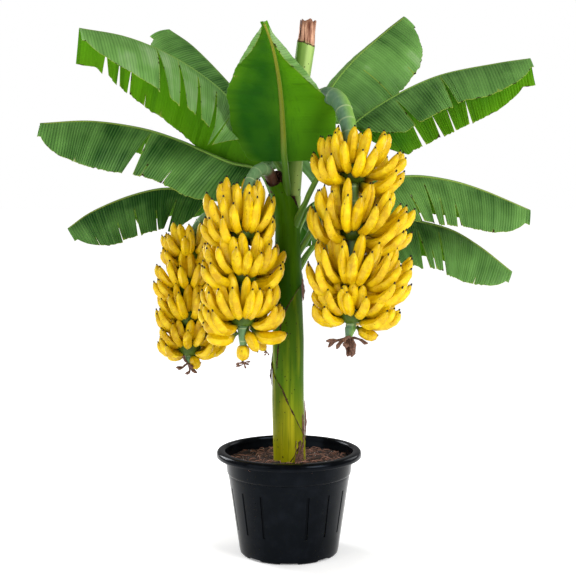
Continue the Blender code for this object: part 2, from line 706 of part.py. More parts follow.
def make_hand(stalk, index):
    """Two rows of bananas fused to a crown round the stalk."""
    bunch = BUNCHES[stalk]
    crown = stalk_centre(stalk, bunch["hands"][index][0])
    low, high = crown.z - 0.012, crown.z - 0.012 + CROWN_HEIGHT
    core = tube("core", [Vector((crown.x, crown.y, z)) for z in (low, low + 0.02, high)],
                [0.75 * CROWN_RADIUS, CROWN_RADIUS, 0.7 * CROWN_RADIUS], STALK_SIDES)
    fingers = [banana(crown, *values, bunch["finger_radius"])
               for values in hand_bananas(stalk, index)]
    hand = apply_boolean(core, "UNION", fingers)
    hand.name = f"hand_{stalk}_{index + 1}"
    apply_boolean(hand, "DIFFERENCE", [stalk_tube("cutter", stalk, GAP)])
    return finish(hand, "banana_yellow")


def make_stray_hand():
    """Two level bananas under the middle bunch, on a small crown."""
    radius = BUNCHES["middle"]["finger_radius"]
    crown = stalk_centre("middle", STRAY_BANANAS[0][1])
    heights = (crown.z - 0.020, crown.z - 0.006, crown.z + 0.010)
    core = tube("core", [Vector((crown.x, crown.y, z)) for z in heights],
                [0.014, 0.020, 0.016], STALK_SIDES)
    fingers = []
    for degrees, height, length in STRAY_BANANAS:
        azimuth = math.radians(degrees)
        outward = Vector((math.cos(azimuth), math.sin(azimuth), 0))
        path = []
        for s in (0.0, 0.3, 0.72, 1.0):
            out = outward * (0.012 + length * s)
            path.append(Vector((crown.x, crown.y, height + 0.012 * s * s)) + out)
        fingers.append(tube("banana", path, [0.35 * radius, 0.9 * radius, 0.9 * radius,
                                             0.35 * radius], FINGER_SIDES))
    hand = apply_boolean(core, "UNION", fingers)
    hand.name = "hand_middle_4"
    apply_boolean(hand, "DIFFERENCE", [stalk_tube("cutter", "middle", GAP)])
    return finish(hand, "banana_yellow")


clear_scene()
make_pot()
make_soil()
make_stems()
make_spout()
for leaf_name, leaf_shape in LEAVES.items():
    make_leaf(leaf_name, leaf_shape)
for bunch_name in STALKS:
    make_stalk(bunch_name)
    for hand_index in range(len(BUNCHES[bunch_name]["hands"])):
        make_hand(bunch_name, hand_index)
make_stray_hand()
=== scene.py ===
"""Dwarf banana plant with three ripe bunches, growing in a black nursery pot."""

import math
import random

import bmesh
import bpy
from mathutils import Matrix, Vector, noise


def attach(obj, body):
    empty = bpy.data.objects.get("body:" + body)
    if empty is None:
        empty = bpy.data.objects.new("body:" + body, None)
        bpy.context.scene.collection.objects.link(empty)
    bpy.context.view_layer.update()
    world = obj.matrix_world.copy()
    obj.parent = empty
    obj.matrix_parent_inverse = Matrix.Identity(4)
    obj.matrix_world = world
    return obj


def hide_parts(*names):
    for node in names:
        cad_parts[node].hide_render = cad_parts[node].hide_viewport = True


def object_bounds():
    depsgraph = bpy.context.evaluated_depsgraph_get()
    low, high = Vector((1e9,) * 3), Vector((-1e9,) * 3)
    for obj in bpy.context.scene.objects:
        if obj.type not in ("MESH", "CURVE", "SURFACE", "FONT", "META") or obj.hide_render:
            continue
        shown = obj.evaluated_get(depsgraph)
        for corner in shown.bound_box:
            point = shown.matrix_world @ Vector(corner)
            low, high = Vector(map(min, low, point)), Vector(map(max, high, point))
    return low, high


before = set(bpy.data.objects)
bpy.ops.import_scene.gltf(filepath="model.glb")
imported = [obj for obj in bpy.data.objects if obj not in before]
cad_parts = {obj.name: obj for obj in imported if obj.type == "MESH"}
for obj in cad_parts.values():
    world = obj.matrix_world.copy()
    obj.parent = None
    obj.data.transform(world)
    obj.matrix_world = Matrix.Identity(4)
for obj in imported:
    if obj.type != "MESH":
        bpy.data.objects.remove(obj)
cad_box = [list(corner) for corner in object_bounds()]

# Nursery pot: one moulded shell of black polypropylene with a rolled lip, a stepped collar,
# drain slots pressed into the wall and a foot of low lugs. Its surface is satin, with a soft
# orange-peel from the mould and a breath of dust. The slots are painted nearly black as painted
# shade, and a blue specular tint gives the pot painted blue reflections.
POT_WALL = 0.0035
LIP_FOOT = 0.288
STEP_HEIGHT = 0.239
BODY_FOOT = (0.1480, 0.009)  # radius and height
BODY_TOP = (0.1816, 0.236)
COLLAR_FOOT_RADIUS = 0.1830
COLLAR_TOP_RADIUS = 0.1905
SLOT_HEIGHTS = (0.076, 0.202)
SLOT_WIDTH = 0.0065
SLOT_DEPTH = 0.0026
SLOT_AZIMUTHS = [math.radians(-72 + 22.5 * k) for k in range(16) if k % 4 != 3]
POT_SIDES = 200
RECESS_HEIGHT = 0.006
RECESS_WIDTH = 0.050
RECESS_RADIUS = 0.133
LUG_TURN = math.pi / 4
VECTORS = "ShaderNodeVectorMath"
RANGE = "ShaderNodeMapRange"
STORED = "ShaderNodeAttribute"
BUMP = "ShaderNodeBump"


def linear(code):
    """The linear colour of an sRGB hex code."""
    values = [int(code[k:k + 2], 16) / 255 for k in (1, 3, 5)]
    return (*[v / 12.92 if v <= 0.04045 else ((v + 0.055) / 1.055) ** 2.4 for v in values], 1.0)


def feed(tree, node, given):
    """Set or link a node's sockets, in their order or by their names. They are given values,
    other sockets, or nodes, of which the first output is taken."""
    for key, value in given.items() if isinstance(given, dict) else enumerate(given):
        if isinstance(value, bpy.types.Node):
            value = value.outputs[0]
        if isinstance(value, bpy.types.NodeSocket):
            tree.links.new(value, node.inputs[key])
        else:
            node.inputs[key].default_value = value
    return node


def add(tree, kind, given=(), **settings):
    """Add a node, with its settings and what its sockets are given."""
    node = tree.nodes.new(kind)
    for key, value in settings.items():
        setattr(node, key, value)
    return feed(tree, node, given)


def new_material(name):
    """An empty material, its node tree and its Principled shader."""
    made = bpy.data.materials.new(name)
    made.use_nodes = True
    return made, made.node_tree, made.node_tree.nodes["Principled BSDF"]


def layered(tree, colour, *layers):
    """A colour with others laid over it. A layer is a value, or the name that it is stored
    under on the mesh, the span over which it comes in, from one range to another or to 0 and
    1, and its colour, which is a hex code or a socket."""
    colour = linear(colour) if isinstance(colour, str) else colour
    for value, *span, over in layers:
        if isinstance(value, str):
            value = add(tree, STORED, attribute_name=value).outputs["Fac"]
        if span:
            value = add(tree, RANGE, (value, *span))
        over = linear(over) if isinstance(over, str) else over
        colour = add(tree, "ShaderNodeMix", {0: value, 6: colour, 7: over},
                     data_type="RGBA").outputs[2]
    return colour


def speckle(tree, size_mm, detail=2.0, rough=0.5, stretch=(1, 1, 1), place=None):
    """Noise whose grains are about size_mm wide, drawn out along an axis by stretch."""
    if place is None:
        place = add(tree, "ShaderNodeTexCoord").outputs["Object"]
    scaled = add(tree, VECTORS, (place, [1000 / size_mm / s for s in stretch]),
                 operation="MULTIPLY")
    return add(tree, "ShaderNodeTexNoise", {"Vector": scaled, "Scale": 1.0, "Detail": detail,
                                            "Roughness": rough})


def added(name, data):
    """An object of this mesh, light or camera, in the scene."""
    made = bpy.data.objects.new(name, data)
    bpy.context.scene.collection.objects.link(made)
    return made


def piece(name, points, faces, material, angle=40, **values):
    """A closed mesh object at the origin, with its faces out. values are stored on its points
    or its faces."""
    mesh = bpy.data.meshes.new(name)
    mesh.from_pydata([tuple(p) for p in points], [], faces)
    for key, numbers in values.items():
        domain = "POINT" if len(numbers) == len(points) else "FACE"
        mesh.attributes.new(key, "FLOAT", domain).data.foreach_set("value", numbers)
    shape = bmesh.new()
    shape.from_mesh(mesh)
    bmesh.ops.recalc_face_normals(shape, faces=shape.faces)
    shape.to_mesh(mesh)
    shape.free()
    mesh.shade_smooth()
    mesh.set_sharp_from_angle(angle=math.radians(angle))
    mesh.materials.append(material)
    return added(name, mesh)


def ring_faces(counts):
    """The faces between rings of these numbers of points. A pole is a ring of one."""
    sides, faces, start = max(counts), [], 0
    for before, now in zip(counts, counts[1:]):
        last, start = start, start + before
        for k in range(sides):
            n = (k + 1) % sides
            low = [last + k, last + n] if before > 1 else [last]
            high = [start + n, start + k] if now > 1 else [start]
            faces.append(tuple(low + high))
    return faces


def turned(name, bodies, keys, material, angle):
    """A piece of bodies that are closed from pole to pole over their rings. A ring holds
    points, or points with the values kept there, in the order of their keys."""
    rows, faces = [], []
    for rings in bodies:
        faces += [tuple(k + len(rows) for k in face) for face in ring_faces([*map(len, rings)])]
        rows += [row if isinstance(row, tuple) else (row,) for ring in rings for row in ring]
    points, *values = (list(column) for column in zip(*rows))
    return piece(name, points, faces, material, angle, **dict(zip(keys, values)))


def off_by(a, b):
    """The turn from one azimuth to another, the shorter way round."""
    return (a - b + math.pi) % math.tau - math.pi


def fits(made, slot, *nodes):
    """The piece rides on the plant's one body and stands for these nodes of the model."""
    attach(made, "root")
    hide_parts(*nodes)


polypropylene, tree, shader = new_material("moulded_black_polypropylene")
dust = speckle(tree, 40, 4.0, 0.6)
feed(tree, shader, {
    # Painted shade: the slots are painted nearly black.
    "Base Color": layered(tree, "#060709", (dust, 0.45, 0.75, "#0e1014"), ("slot", "#020202")),
    "Roughness": add(tree, RANGE, (dust, 0.3, 0.7, 0.12, 0.20)), "Specular IOR Level": 0.08,
    # Painted reflection: the specular tint turns the pot's reflections blue.
    "Specular Tint": linear("#c4d8f0"), "Normal": add(tree, BUMP, {
        "Height": speckle(tree, 2.2), "Distance": 0.00025, "Strength": 0.35})})

wall_heights = [0.02, 0.04, 0.058, 0.0755, 0.0765, 0.10, 0.12, 0.14, 0.16, 0.18, 0.2015, 0.2025,
                0.215, 0.228]
lean = (BODY_TOP[0] - BODY_FOOT[0]) / (BODY_TOP[1] - BODY_FOOT[1])
LIP = (  # from the collar over the rim to the inner wall, in mm
    (181.4, 237.8), (182.6, 239.0), (184.2, 240.4), (185.2, 243.2), (185.8, 248.0),
    (187.8, 265.0), (190.0, 286.2), (192.2, 287.6), (210.0, 288.0), (214.0, 288.7),
    (216.0, 290.8), (216.5, 294.0), (216.0, 298.5), (214.5, 303.5), (212.0, 306.5),
    (208.0, 308.4), (203.0, 309.0), (195.5, 309.0), (192.5, 308.3), (190.5, 306.2),
    (189.5, 302.0), (188.5, 296.0), (187.5, 288.5), (186.5, 285.0), (181.5, 255.0))
pot_profile = [
    (0, 0), (0.07, 0), (0.131, 0), (RECESS_RADIUS, 0), (RECESS_RADIUS + 0.0004, 0), (0.1410, 0),
    (0.1447, 0.0012), (0.1469, 0.0040), BODY_FOOT,
    *((BODY_FOOT[0] + lean * (z - BODY_FOOT[1]), z) for z in wall_heights), BODY_TOP,
    *((radius / 1000, z / 1000) for radius, z in LIP),
    (COLLAR_FOOT_RADIUS - POT_WALL, STEP_HEIGHT), (BODY_TOP[0] - POT_WALL, BODY_TOP[1]),
    (BODY_FOOT[0] - POT_WALL, BODY_FOOT[1]), (0, BODY_FOOT[1])]
half_slot = SLOT_WIDTH / 2 / 0.16
azimuths = {round(math.tau * k / POT_SIDES, 4) for k in range(POT_SIDES)}
for slot in SLOT_AZIMUTHS:
    azimuths = {a for a in azimuths if abs(off_by(a, slot)) > 0.03}
    azimuths |= {round((slot + side * (half_slot + edge)) % math.tau, 4)
                 for side in (-1, 1) for edge in (-0.004, 0.004)}
pot_rings = []
for radius, z in pot_profile:
    on_foot = RECESS_RADIUS < radius and z < RECESS_HEIGHT
    in_wall = SLOT_HEIGHTS[0] < z < SLOT_HEIGHTS[1] and radius > BODY_FOOT[0]
    ring = []
    for a in sorted(azimuths) if radius else [0]:
        slotted = in_wall and any(abs(off_by(a, slot)) < half_slot for slot in SLOT_AZIMUTHS)
        r = radius - SLOT_DEPTH * slotted
        off_lug = (a + LUG_TURN / 2) % LUG_TURN - LUG_TURN / 2
        notched = on_foot and abs(off_lug) * 0.145 < RECESS_WIDTH / 2
        ring.append((Vector((r * math.cos(a), r * math.sin(a), RECESS_HEIGHT if notched else z)),
                     float(slotted)))
    pot_rings.append(ring)
fits(turned("nursery_pot", [pot_rings], ["slot"], polypropylene, 35), "pot_plastic", "pot")

# Potting mix: dark peat and composted bark, loose and crumbly, heaped slightly at the stem.
# On it lie reddish bark fibres, crumbs of bark and a few white grains of perlite.
SOIL_EDGE = 0.275
SOIL_TOP = 0.279
SOIL_FOOT = STEP_HEIGHT + 0.004
SOIL_RINGS = 70
SOIL_SIDES = 220

potting_mix, tree, shader = new_material("potting_mix_of_peat_and_bark")
crumbs = speckle(tree, 7, 4.0, 0.7)
feed(tree, shader, {
    "Base Color": layered(tree, "#080403", (crumbs, 0.35, 0.65, "#24140f"),
                          (speckle(tree, 45), 0.45, 0.65, "#33201a")),
    "Roughness": 0.95, "Normal": add(tree, BUMP, {"Height": crumbs, "Distance": 0.0025})})


def soil_radius(z):
    """The radius of the pot's inner wall at a height, less a small gap."""
    share = (z - STEP_HEIGHT) / (LIP_FOOT - STEP_HEIGHT)
    return COLLAR_FOOT_RADIUS - POT_WALL - 0.0006 + share * (COLLAR_TOP_RADIUS
                                                            - COLLAR_FOOT_RADIUS)


def soil_height(x, y):
    """The height of the soil, with lumps of 40, 15 and 6 mm."""
    share = min(1.0, math.hypot(x, y) / 0.18)
    level = SOIL_TOP + (SOIL_EDGE - SOIL_TOP) * share
    here = Vector((x, y, 0))
    return (level + 0.0050 * noise.noise(here / 0.040) + 0.0030 * noise.noise(here / 0.015)
            + 0.0014 * noise.noise(here / 0.006))


edge = soil_radius(SOIL_EDGE)
soil_rings = [[Vector((0, 0, soil_height(0, 0)))]]
for k in range(1, SOIL_RINGS + 1):
    ring = []
    for j in range(SOIL_SIDES):
        a = math.tau * j / SOIL_SIDES
        x, y = (edge * k / SOIL_RINGS * f(a) for f in (math.cos, math.sin))
        ring.append(Vector((x, y, soil_height(x, y))))
    soil_rings.append(ring)
low = soil_radius(SOIL_FOOT)
soil_rings.append([Vector((p.x * low / edge, p.y * low / edge, SOIL_FOOT)) for p in ring])
soil_rings.append([Vector((0, 0, SOIL_FOOT))])
soil = turned("potting_soil", [soil_rings], (), potting_mix, 60)
fits(soil, "soil", "soil")


VECTOR = "ShaderNodeCombineXYZ"


def node_group(name, sockets):
    """An empty tree of geometry nodes and its inputs, with their names and kinds."""
    tree = bpy.data.node_groups.new(name, "GeometryNodeTree")
    for label, kind in sockets:
        tree.interface.new_socket(label, in_out="INPUT", socket_type="NodeSocket" + kind)
    tree.interface.new_socket("Made", in_out="OUTPUT", socket_type="NodeSocketGeometry")
    return tree, add(tree, "NodeGroupInput").outputs


def toned(tree, instances, seed):
    """Instances with a tone of its own on each."""
    tone = add(tree, "FunctionNodeRandomValue", {2: 0.0, 3: 1.0, 8: seed}).outputs[1]
    return add(tree, "GeometryNodeStoreNamedAttribute",
               {"Geometry": instances, "Name": "tone", "Value": tone},
               data_type="FLOAT", domain="INSTANCE")


def litter_tree():
    """Geometry nodes that lay small pieces on a surface, turned and sized at random."""
    tree, given = node_group("Litter on soil", (
        ("Ground", "Geometry"), ("Bit", "Object"), ("Count per m2", "Float"),
        ("Least size", "Float"), ("Greatest size", "Float"), ("Tilt", "Float"),
        ("Seed", "Int"), ("Finish", "Material")))
    upward = add(tree, "ShaderNodeSeparateXYZ", [add(tree, "GeometryNodeInputNormal")]).outputs[2]
    on_top = add(tree, "FunctionNodeCompare", (upward, 0.3), operation="GREATER_THAN")
    spots = add(tree, "GeometryNodeDistributePointsOnFaces",
                {"Mesh": given["Ground"], "Selection": on_top, "Density": given["Count per m2"],
                 "Seed": given["Seed"]})
    lean = add(tree, VECTOR, (given["Tilt"], given["Tilt"], 0))
    most = add(tree, VECTORS, (lean, (0, 0, math.tau)), operation="ADD")
    least = add(tree, VECTORS, (lean, (-1, -1, -1)), operation="MULTIPLY")
    euler = add(tree, "FunctionNodeRandomValue", {0: least, 1: most, 8: given["Seed"]},
                data_type="FLOAT_VECTOR")
    sized = add(tree, "FunctionNodeRandomValue", {2: given["Least size"],
                                                  3: given["Greatest size"], 8: given["Seed"]})
    bit = add(tree, "GeometryNodeObjectInfo", {"Object": given["Bit"]}).outputs["Geometry"]
    laid = add(tree, "GeometryNodeInstanceOnPoints", {
        "Points": spots, "Instance": bit, "Scale": sized.outputs[1],
        "Rotation": add(tree, "FunctionNodeEulerToRotation", [euler])})
    real = add(tree, "GeometryNodeRealizeInstances", [toned(tree, laid, given["Seed"])])
    done = add(tree, "GeometryNodeSetMaterial", {"Geometry": real, "Material": given["Finish"]})
    add(tree, "NodeGroupOutput", [done])
    return tree


def grown(name, tree, ground, **inputs):
    """The plain mesh that a tree of geometry nodes makes, with its inputs set by their names."""
    host = added(name + "_host", ground)
    modifier = host.modifiers.new("Grow", "NODES")
    modifier.node_group = tree
    sockets = {item.name: item.identifier for item in tree.interface.items_tree
               if item.in_out == "INPUT"}
    for key, value in inputs.items():
        modifier[sockets[key.replace("_", " ")]] = value
    seen = host.evaluated_get(bpy.context.evaluated_depsgraph_get())
    mesh = bpy.data.meshes.new_from_object(seen)
    host.modifiers.remove(modifier)
    bpy.data.objects.remove(host)
    mesh.name = name
    return added(name, mesh)


def bark_like(name, first, second):
    """Rough dry stuff in two tones that differ from bit to bit."""
    made, tree, shader = new_material(name)
    feed(tree, shader, {"Base Color": layered(tree, first, ("tone", second)), "Roughness": 0.85})
    return made


# Shredded bark catches the light in reddish strands; perlite is chalk white
bark_fibre = bark_like("shredded_bark_fibre", "#4e2c22", "#b0806c")
bark_crumb = bark_like("composted_bark_crumb", "#160c08", "#573422")
perlite = bark_like("expanded_perlite", "#b9aa9c", "#e9e1d8")


def bent_strip(length, width, rise, steps=5):
    """Points and faces of a thin strip, bowed upwards and closed all round."""
    points = []
    for s in (k / steps for k in range(steps + 1)):
        half = width / 2 * (1 - 0.6 * abs(2 * s - 1))
        x, y = length * (s - 0.5), 0.18 * length * math.sin(2.4 * s)
        z = rise * math.sin(math.pi * s)
        points += [(x, y - half, z), (x, y, z - half), (x, y + half, z), (x, y, z + half)]
    last = tuple(range(len(points) - 4, len(points)))
    return points, ring_faces([4] * (steps + 1)) + [(3, 2, 1, 0), last]


litter = litter_tree()
grain = bmesh.new()
bmesh.ops.create_icosphere(grain, subdivisions=1, radius=1.0)
grain_points = [v.co * (1 + 0.25 * noise.noise(v.co * 2)) for v in grain.verts]
grain_faces = [tuple(v.index for v in face.verts) for face in grain.faces]
grain.free()
# Name, shape, number per square metre, least and greatest size, tilt, seed and material
for name, body, count, least, most, tilt, seed, finish in (
        ("bark_fibres", bent_strip(1.0, 0.07, 0.16), 4200, 0.009, 0.030, 0.35, 3, bark_fibre),
        ("bark_crumbs", (grain_points, grain_faces), 9000, 0.0007, 0.0026, 1.0, 5, bark_crumb),
        ("perlite_grains", (grain_points, grain_faces), 700, 0.0006, 0.0017, 1.0, 8, perlite)):
    bit = piece("bit", *body, finish)
    made = grown(name, litter, soil.data, Bit=bit, Count_per_m2=float(count), Least_size=least,
                 Greatest_size=most, Tilt=tilt, Seed=seed, Finish=finish)
    bpy.data.objects.remove(bit)
    fits(made, "soil", "soil")

# Pseudostem: the tightly rolled leaf sheaths that a banana stands on, watery and waxy. Each
# sheath overlaps the one inside it, and its margin dries to a brown line. It is green, and
# yellower towards the soil.
PSEUDOSTEM = (  # height, centre x, radius
    (0.2735, 0.0020, 0.0494), (0.345, -0.0002, 0.0490), (0.456, -0.0032, 0.0484),
    (0.636, -0.0022, 0.0474), (0.800, -0.0036, 0.0430), (0.960, -0.0042, 0.0378),
    (1.060, -0.0046, 0.0372))
# The margins of the sheaths as (height, azimuth from the front), in mm and degrees
SHEATH_MARGINS = (
    ((1093, -8), (1055, 24), (1009, 72), (960, 120)),
    ((860, 130), (812, 82), (784, 36), (753, 9), (723, -11), (685, -28), (626, -37), (540, -45)),
    ((640, -140), (565, -85), (519, -41), (496, -19), (455, 1), (422, 19), (388, 39),
     (355, 61), (320, 95)),
    ((340, 60), (320, 33), (281, 5), (262, -15)),
    ((980, -170), (900, -140), (800, -118), (700, -110), (600, -125)),
    ((760, 240), (640, 205), (520, 185), (420, 175), (300, 160)))
STEM_SIDES = 200
STEM_LEVELS = 316
STEM_STEP = 0.0025
SHEATH_VALUES = ("dry", "pale", "old", "broken")
INNER_STEM = ((0.980, 0.0040, 0.0290), (1.060, 0.0102, 0.0248))


def between(table, height):
    """What a table says at a height, such as a stem's centre and radius. A row starts with its
    height, and between two rows all runs evenly."""
    for low, high in zip(table, table[1:]):
        if height <= high[0]:
            share = max(0.0, (height - low[0]) / (high[0] - low[0]))
            return [a + (b - a) * share for a, b in zip(low[1:], high[1:])]
    return table[-1][1:]


def margin_azimuth(margin, height):
    """Where a sheath's margin lies at a height, or None beyond its ends."""
    for high, low in zip(margin, margin[1:]):
        if low[0] <= height * 1000 <= high[0]:
            share = (high[0] - height * 1000) / (high[0] - low[0])
            return math.radians(high[1] + (low[1] - high[1]) * share)
    return None


def sheath_relief(azimuth, height, radius):
    """How far the sheaths stand out here, and how close the nearest dried margin is."""
    out, dry = 0.0, 0.0
    for k, margin in enumerate(SHEATH_MARGINS):
        centre = margin_azimuth(margin, height)
        if centre is None:
            continue
        wobble = 0.0016 * noise.noise(Vector((height * 90, k * 7.0, 0)))
        off = off_by(azimuth, centre) * radius + wobble
        above, below = margin[0][0] / 1000 - height, height - margin[-1][0] / 1000
        ends = min(1.0, above / 0.03, below / 0.03)
        step = 1 / (1 + math.exp(off / 0.0006))
        out += ends * 0.0024 * step * math.exp(min(0.0, off) / 0.030)
        thick = 0.0021 + 0.0028 * noise.noise(Vector((height * 55, k * 3.0, 4.0)))
        rim = ends * math.exp(-((off + 0.0008) / max(thick, 0.0009)) ** 2)
        out += 0.0016 * rim
        dry = max(dry, rim)
    return out, dry


def below_margin(azimuth, height, margin):
    """1 where the stem is below a sheath's margin, 0 above it."""
    turn = math.degrees(off_by(azimuth, 0))
    edge = margin[-1][0] if turn > margin[-1][1] else margin[0][0]
    for (z0, a0), (z1, a1) in zip(margin, margin[1:]):
        if min(a0, a1) <= turn <= max(a0, a1):
            edge = z0 + (z1 - z0) * (turn - a0) / (a1 - a0)
    return 1 / (1 + math.exp((height * 1000 - edge) / 2.0))


banana_sheath, tree, shader = new_material("waxy_banana_leaf_sheath")
height = add(tree, "ShaderNodeSeparateXYZ",
             [add(tree, "ShaderNodeTexCoord").outputs["Object"]]).outputs[2]
streaks = speckle(tree, 5, 3.0, 0.6, (1, 1, 30))
broad = speckle(tree, 30, stretch=(1, 1, 9))
fibres = speckle(tree, 9, 3.0, 0.55, (1, 1, 10))
flecks = speckle(tree, 6, 1.0, 0.4, (1, 1, 1.6))
oldest = layered(tree, "#8c8c08", (height, 0.31, 0.46, "#455a05"),
                 (broad, 0.48, 0.66, 0.0, 0.8, "#a59f18"))
brown = layered(tree, "#150b07", (speckle(tree, 4, 3.0), 0.4, 0.7, "#5e4030"))
pith = layered(tree, "#6b3d2b", (fibres, 0.40, 0.62, "#dba98b"),
               (fibres, 0.33, 0.40, 1.0, 0.0, "#1f0f0a"),
               (height, 1.548, 1.566, 0.0, 0.6, "#54301f"))
# The pale inner stem also carries a painted highlight, strongest on its right side.
green = layered(
    tree, "#466e06", (height, 0.45, 0.75, "#244d02"), (height, 0.88, 1.00, 0.0, 0.8, "#4a7c08"),
    (height, 0.40, 0.52, 0.7, 0.0, "#828a10"), (broad, 0.50, 0.70, 0.0, 0.6, "#507d10"),
    ("old", oldest), (streaks, 0.52, 0.72, 0.0, 0.55, "#274404"), ("pale", "#a6c26e"),
    (flecks, 0.73, 0.76, "#1f160a"), ("dry", 0.25, 0.6, brown), ("broken", pith))
feed(tree, shader, {
    "Base Color": green, "Specular IOR Level": 0.06, "Roughness": add(tree, RANGE, (
        add(tree, STORED, attribute_name="dry").outputs["Fac"], 0.1, 0.6, 0.36, 0.8)),
    "Normal": add(tree, BUMP, {"Height": streaks, "Distance": 0.0006, "Strength": 0.5})})

rings = [[(Vector((0.0015, 0, PSEUDOSTEM[0][0])), 0.0, 0.0, 0.0, 0.0)]]
for z in (PSEUDOSTEM[0][0] + STEM_STEP * k for k in range(STEM_LEVELS)):
    x0, radius = between(PSEUDOSTEM, z)
    inner_x, inner_radius = between(INNER_STEM, z)
    opening = margin_azimuth(SHEATH_MARGINS[0], z) if z > 1.009 else math.radians(72)
    bared = min(1.0, max(0.0, (z - 0.975) / 0.07))
    ring = []
    for k in range(STEM_SIDES):
        azimuth = math.tau * k / STEM_SIDES - math.pi / 2
        out, dry = sheath_relief(azimuth, z, radius)
        around = Vector((math.sin(azimuth), math.cos(azimuth), 0))
        swell = 0.0009 * noise.noise(Vector((around.x * 2, around.y * 2, z * 6)))
        r = radius - 0.0014 + out + swell
        sheathed = Vector((x0 + r * around.x, -r * around.y, z))
        inner = Vector((inner_x + inner_radius * around.x, -inner_radius * around.y, z))
        inside = bared / (1 + math.exp((opening - azimuth) / 0.03))
        old = max(below_margin(azimuth, z, SHEATH_MARGINS[2]),
                  0.35 * below_margin(azimuth, z, SHEATH_MARGINS[1]))
        # Where the inner stem shows, it is pale, and a painted highlight makes it paler towards its
        # right side.
        ring.append((sheathed.lerp(inner, inside), dry,
                     min(1.0, 1.3 * inside * max(0.2, math.sin(azimuth))), old, 0.0))
    rings.append(ring)
rings.append([(Vector((0.004, 0, 1.0605)), 0.0, 0.0, 0.0, 0.0)])
fits(turned("sheathed_pseudostem", [rings], SHEATH_VALUES, banana_sheath, 55),
     "stem_green", "pseudostem")

# Cut stem: the pale inner stem that stood above the leaves, snapped off at the top. Its paleness
# is painted strongest on its right front and in three bands round it, a painted highlight. Its
# outer sheath ends in a ragged rim, and the bare, pinkish brown core stands out of it, torn and
# dry.
CUT_STEM = ((1.040, 0.0085, 0.0240), (1.154, 0.0180, 0.0235), (1.398, 0.0345, 0.0264),
            (1.498, 0.0488, 0.0276), (1.572, 0.0565, 0.0262))
RAGGED_RIM = 1.503
CUT_FOOT = 1.040
CUT_CREST = 1.567
CUT_LEVELS = 175
CUT_SIDES = 72
CUT_CENTRE = 0.0561
PITH_FLOOR = 1.549
rings = [[(Vector((0.0085, 0, CUT_FOOT)), 0.0, 0.0, 0.0, 0.0)]]
for j in range(CUT_LEVELS + 1):
    ring = []
    for k in range(CUT_SIDES):
        azimuth = math.tau * k / CUT_SIDES
        around = Vector((math.sin(azimuth), math.cos(azimuth), 0))
        rim = RAGGED_RIM - 0.008 * around.x + 0.005 * noise.noise(around * 2.2)
        crest = CUT_CREST + 0.010 * noise.noise(around * 2.4 + Vector((0, 0, 5)))
        z = CUT_FOOT + (crest - CUT_FOOT) * j / CUT_LEVELS
        x0, radius = between(CUT_STEM, z)
        bare = 1 / (1 + math.exp((rim - z) / 0.0007))
        fluted = 0.0007 * noise.noise(around * 5 + Vector((0, 0, z * 3)))
        r = radius + fluted - 0.0024 * bare - 0.0006
        if bare > 0.5:
            r += 0.0022 * noise.noise(around * 9 + Vector((0, 0, z * 25)))
        # Painted highlight: the stem is painted paler on its right front and in three bands round
        # it.
        light = 0.55 * max(0.0, math.sin(azimuth + 0.9)) + 0.45 * max(0, math.sin(azimuth * 3))
        dry = math.exp(-((z - rim + 0.002) / 0.0022) ** 2)
        ring.append((Vector((x0 + r * math.sin(azimuth), -r * math.cos(azimuth), z)),
                     dry, min(1.0, light * 1.1), 0.0, bare))
    rings.append(ring)
for inward, drop in ((0.82, 0.004), (0.45, 0.012)):
    rings.append([(Vector((CUT_CENTRE + (p.x - CUT_CENTRE) * inward, p.y * inward, p.z - drop)),
                   0.0, 0.0, 0.0, 1.0) for p, *_ in ring])
rings.append([(Vector((CUT_CENTRE, 0, PITH_FLOOR)), 0.0, 0.0, 0.0, 1.0)])
fits(turned("cut_inner_stem", [rings], SHEATH_VALUES, banana_sheath, 60),
     "stem_green", "cut_stem")

# Torn sheath: the front sheath leans away to the left at its top and ends in an open cup with
# a dried brown rim, torn where its leaf broke off. The middle bunch's stalk grows out of it.
SPOUT = (  # path in mm, radius in metres
    ((-8, -3, 985), 0.0340), ((-13, -7, 1025), 0.0325), ((-22, -13, 1062), 0.0290),
    ((-34, -21, 1091), 0.0262), ((-45, -28, 1118), 0.0255))
SPOUT_WALL = 0.0022
SPOUT_LEVELS = 60
SPOUT_SIDES = 64
FINE_STEPS = 40  # from one control point of a path to the next
CUP_FLOOR = 28  # the level at which the cup ends inside


def metres(place):
    """A place given in millimetres."""
    return Vector([v / 1000 for v in place])


def distances(path):
    """How far each point lies along a path."""
    found = [0.0]
    for a, b in zip(path, path[1:]):
        found.append(found[-1] + (b - a).length)
    return found


def smooth_path(controls, steps):
    """Points at even steps along a smooth curve through places given in millimetres."""
    knots = [metres(c) for c in controls]
    knots = [2 * knots[0] - knots[1], *knots, 2 * knots[-1] - knots[-2]]
    fine = []
    for a, b, c, d in zip(knots, knots[1:], knots[2:], knots[3:]):
        for s in (k / FINE_STEPS for k in range(FINE_STEPS)):
            fine.append(0.5 * (2 * b + (c - a) * s + (2 * a - 5 * b + 4 * c - d) * s * s
                               + (3 * b - a - 3 * c + d) * s ** 3))
    fine.append(knots[-2])
    lengths = distances(fine)
    path, low = [], 0
    for k in range(steps + 1):
        goal = lengths[-1] * k / steps
        while low < len(fine) - 2 and lengths[low + 1] < goal:
            low += 1
        share = (goal - lengths[low]) / (lengths[low + 1] - lengths[low])
        path.append(fine[low].lerp(fine[low + 1], share))
    return path


def frame_along(path):
    """Two directions across a path at each of its points, without twist."""
    across, found = Vector((0, 1, 0)), []
    for k in range(len(path)):
        ahead = (path[min(k + 1, len(path) - 1)] - path[max(k - 1, 0)]).normalized()
        across = (across - ahead * across.dot(ahead)).normalized()
        found.append((across, ahead.cross(across)))
    return found


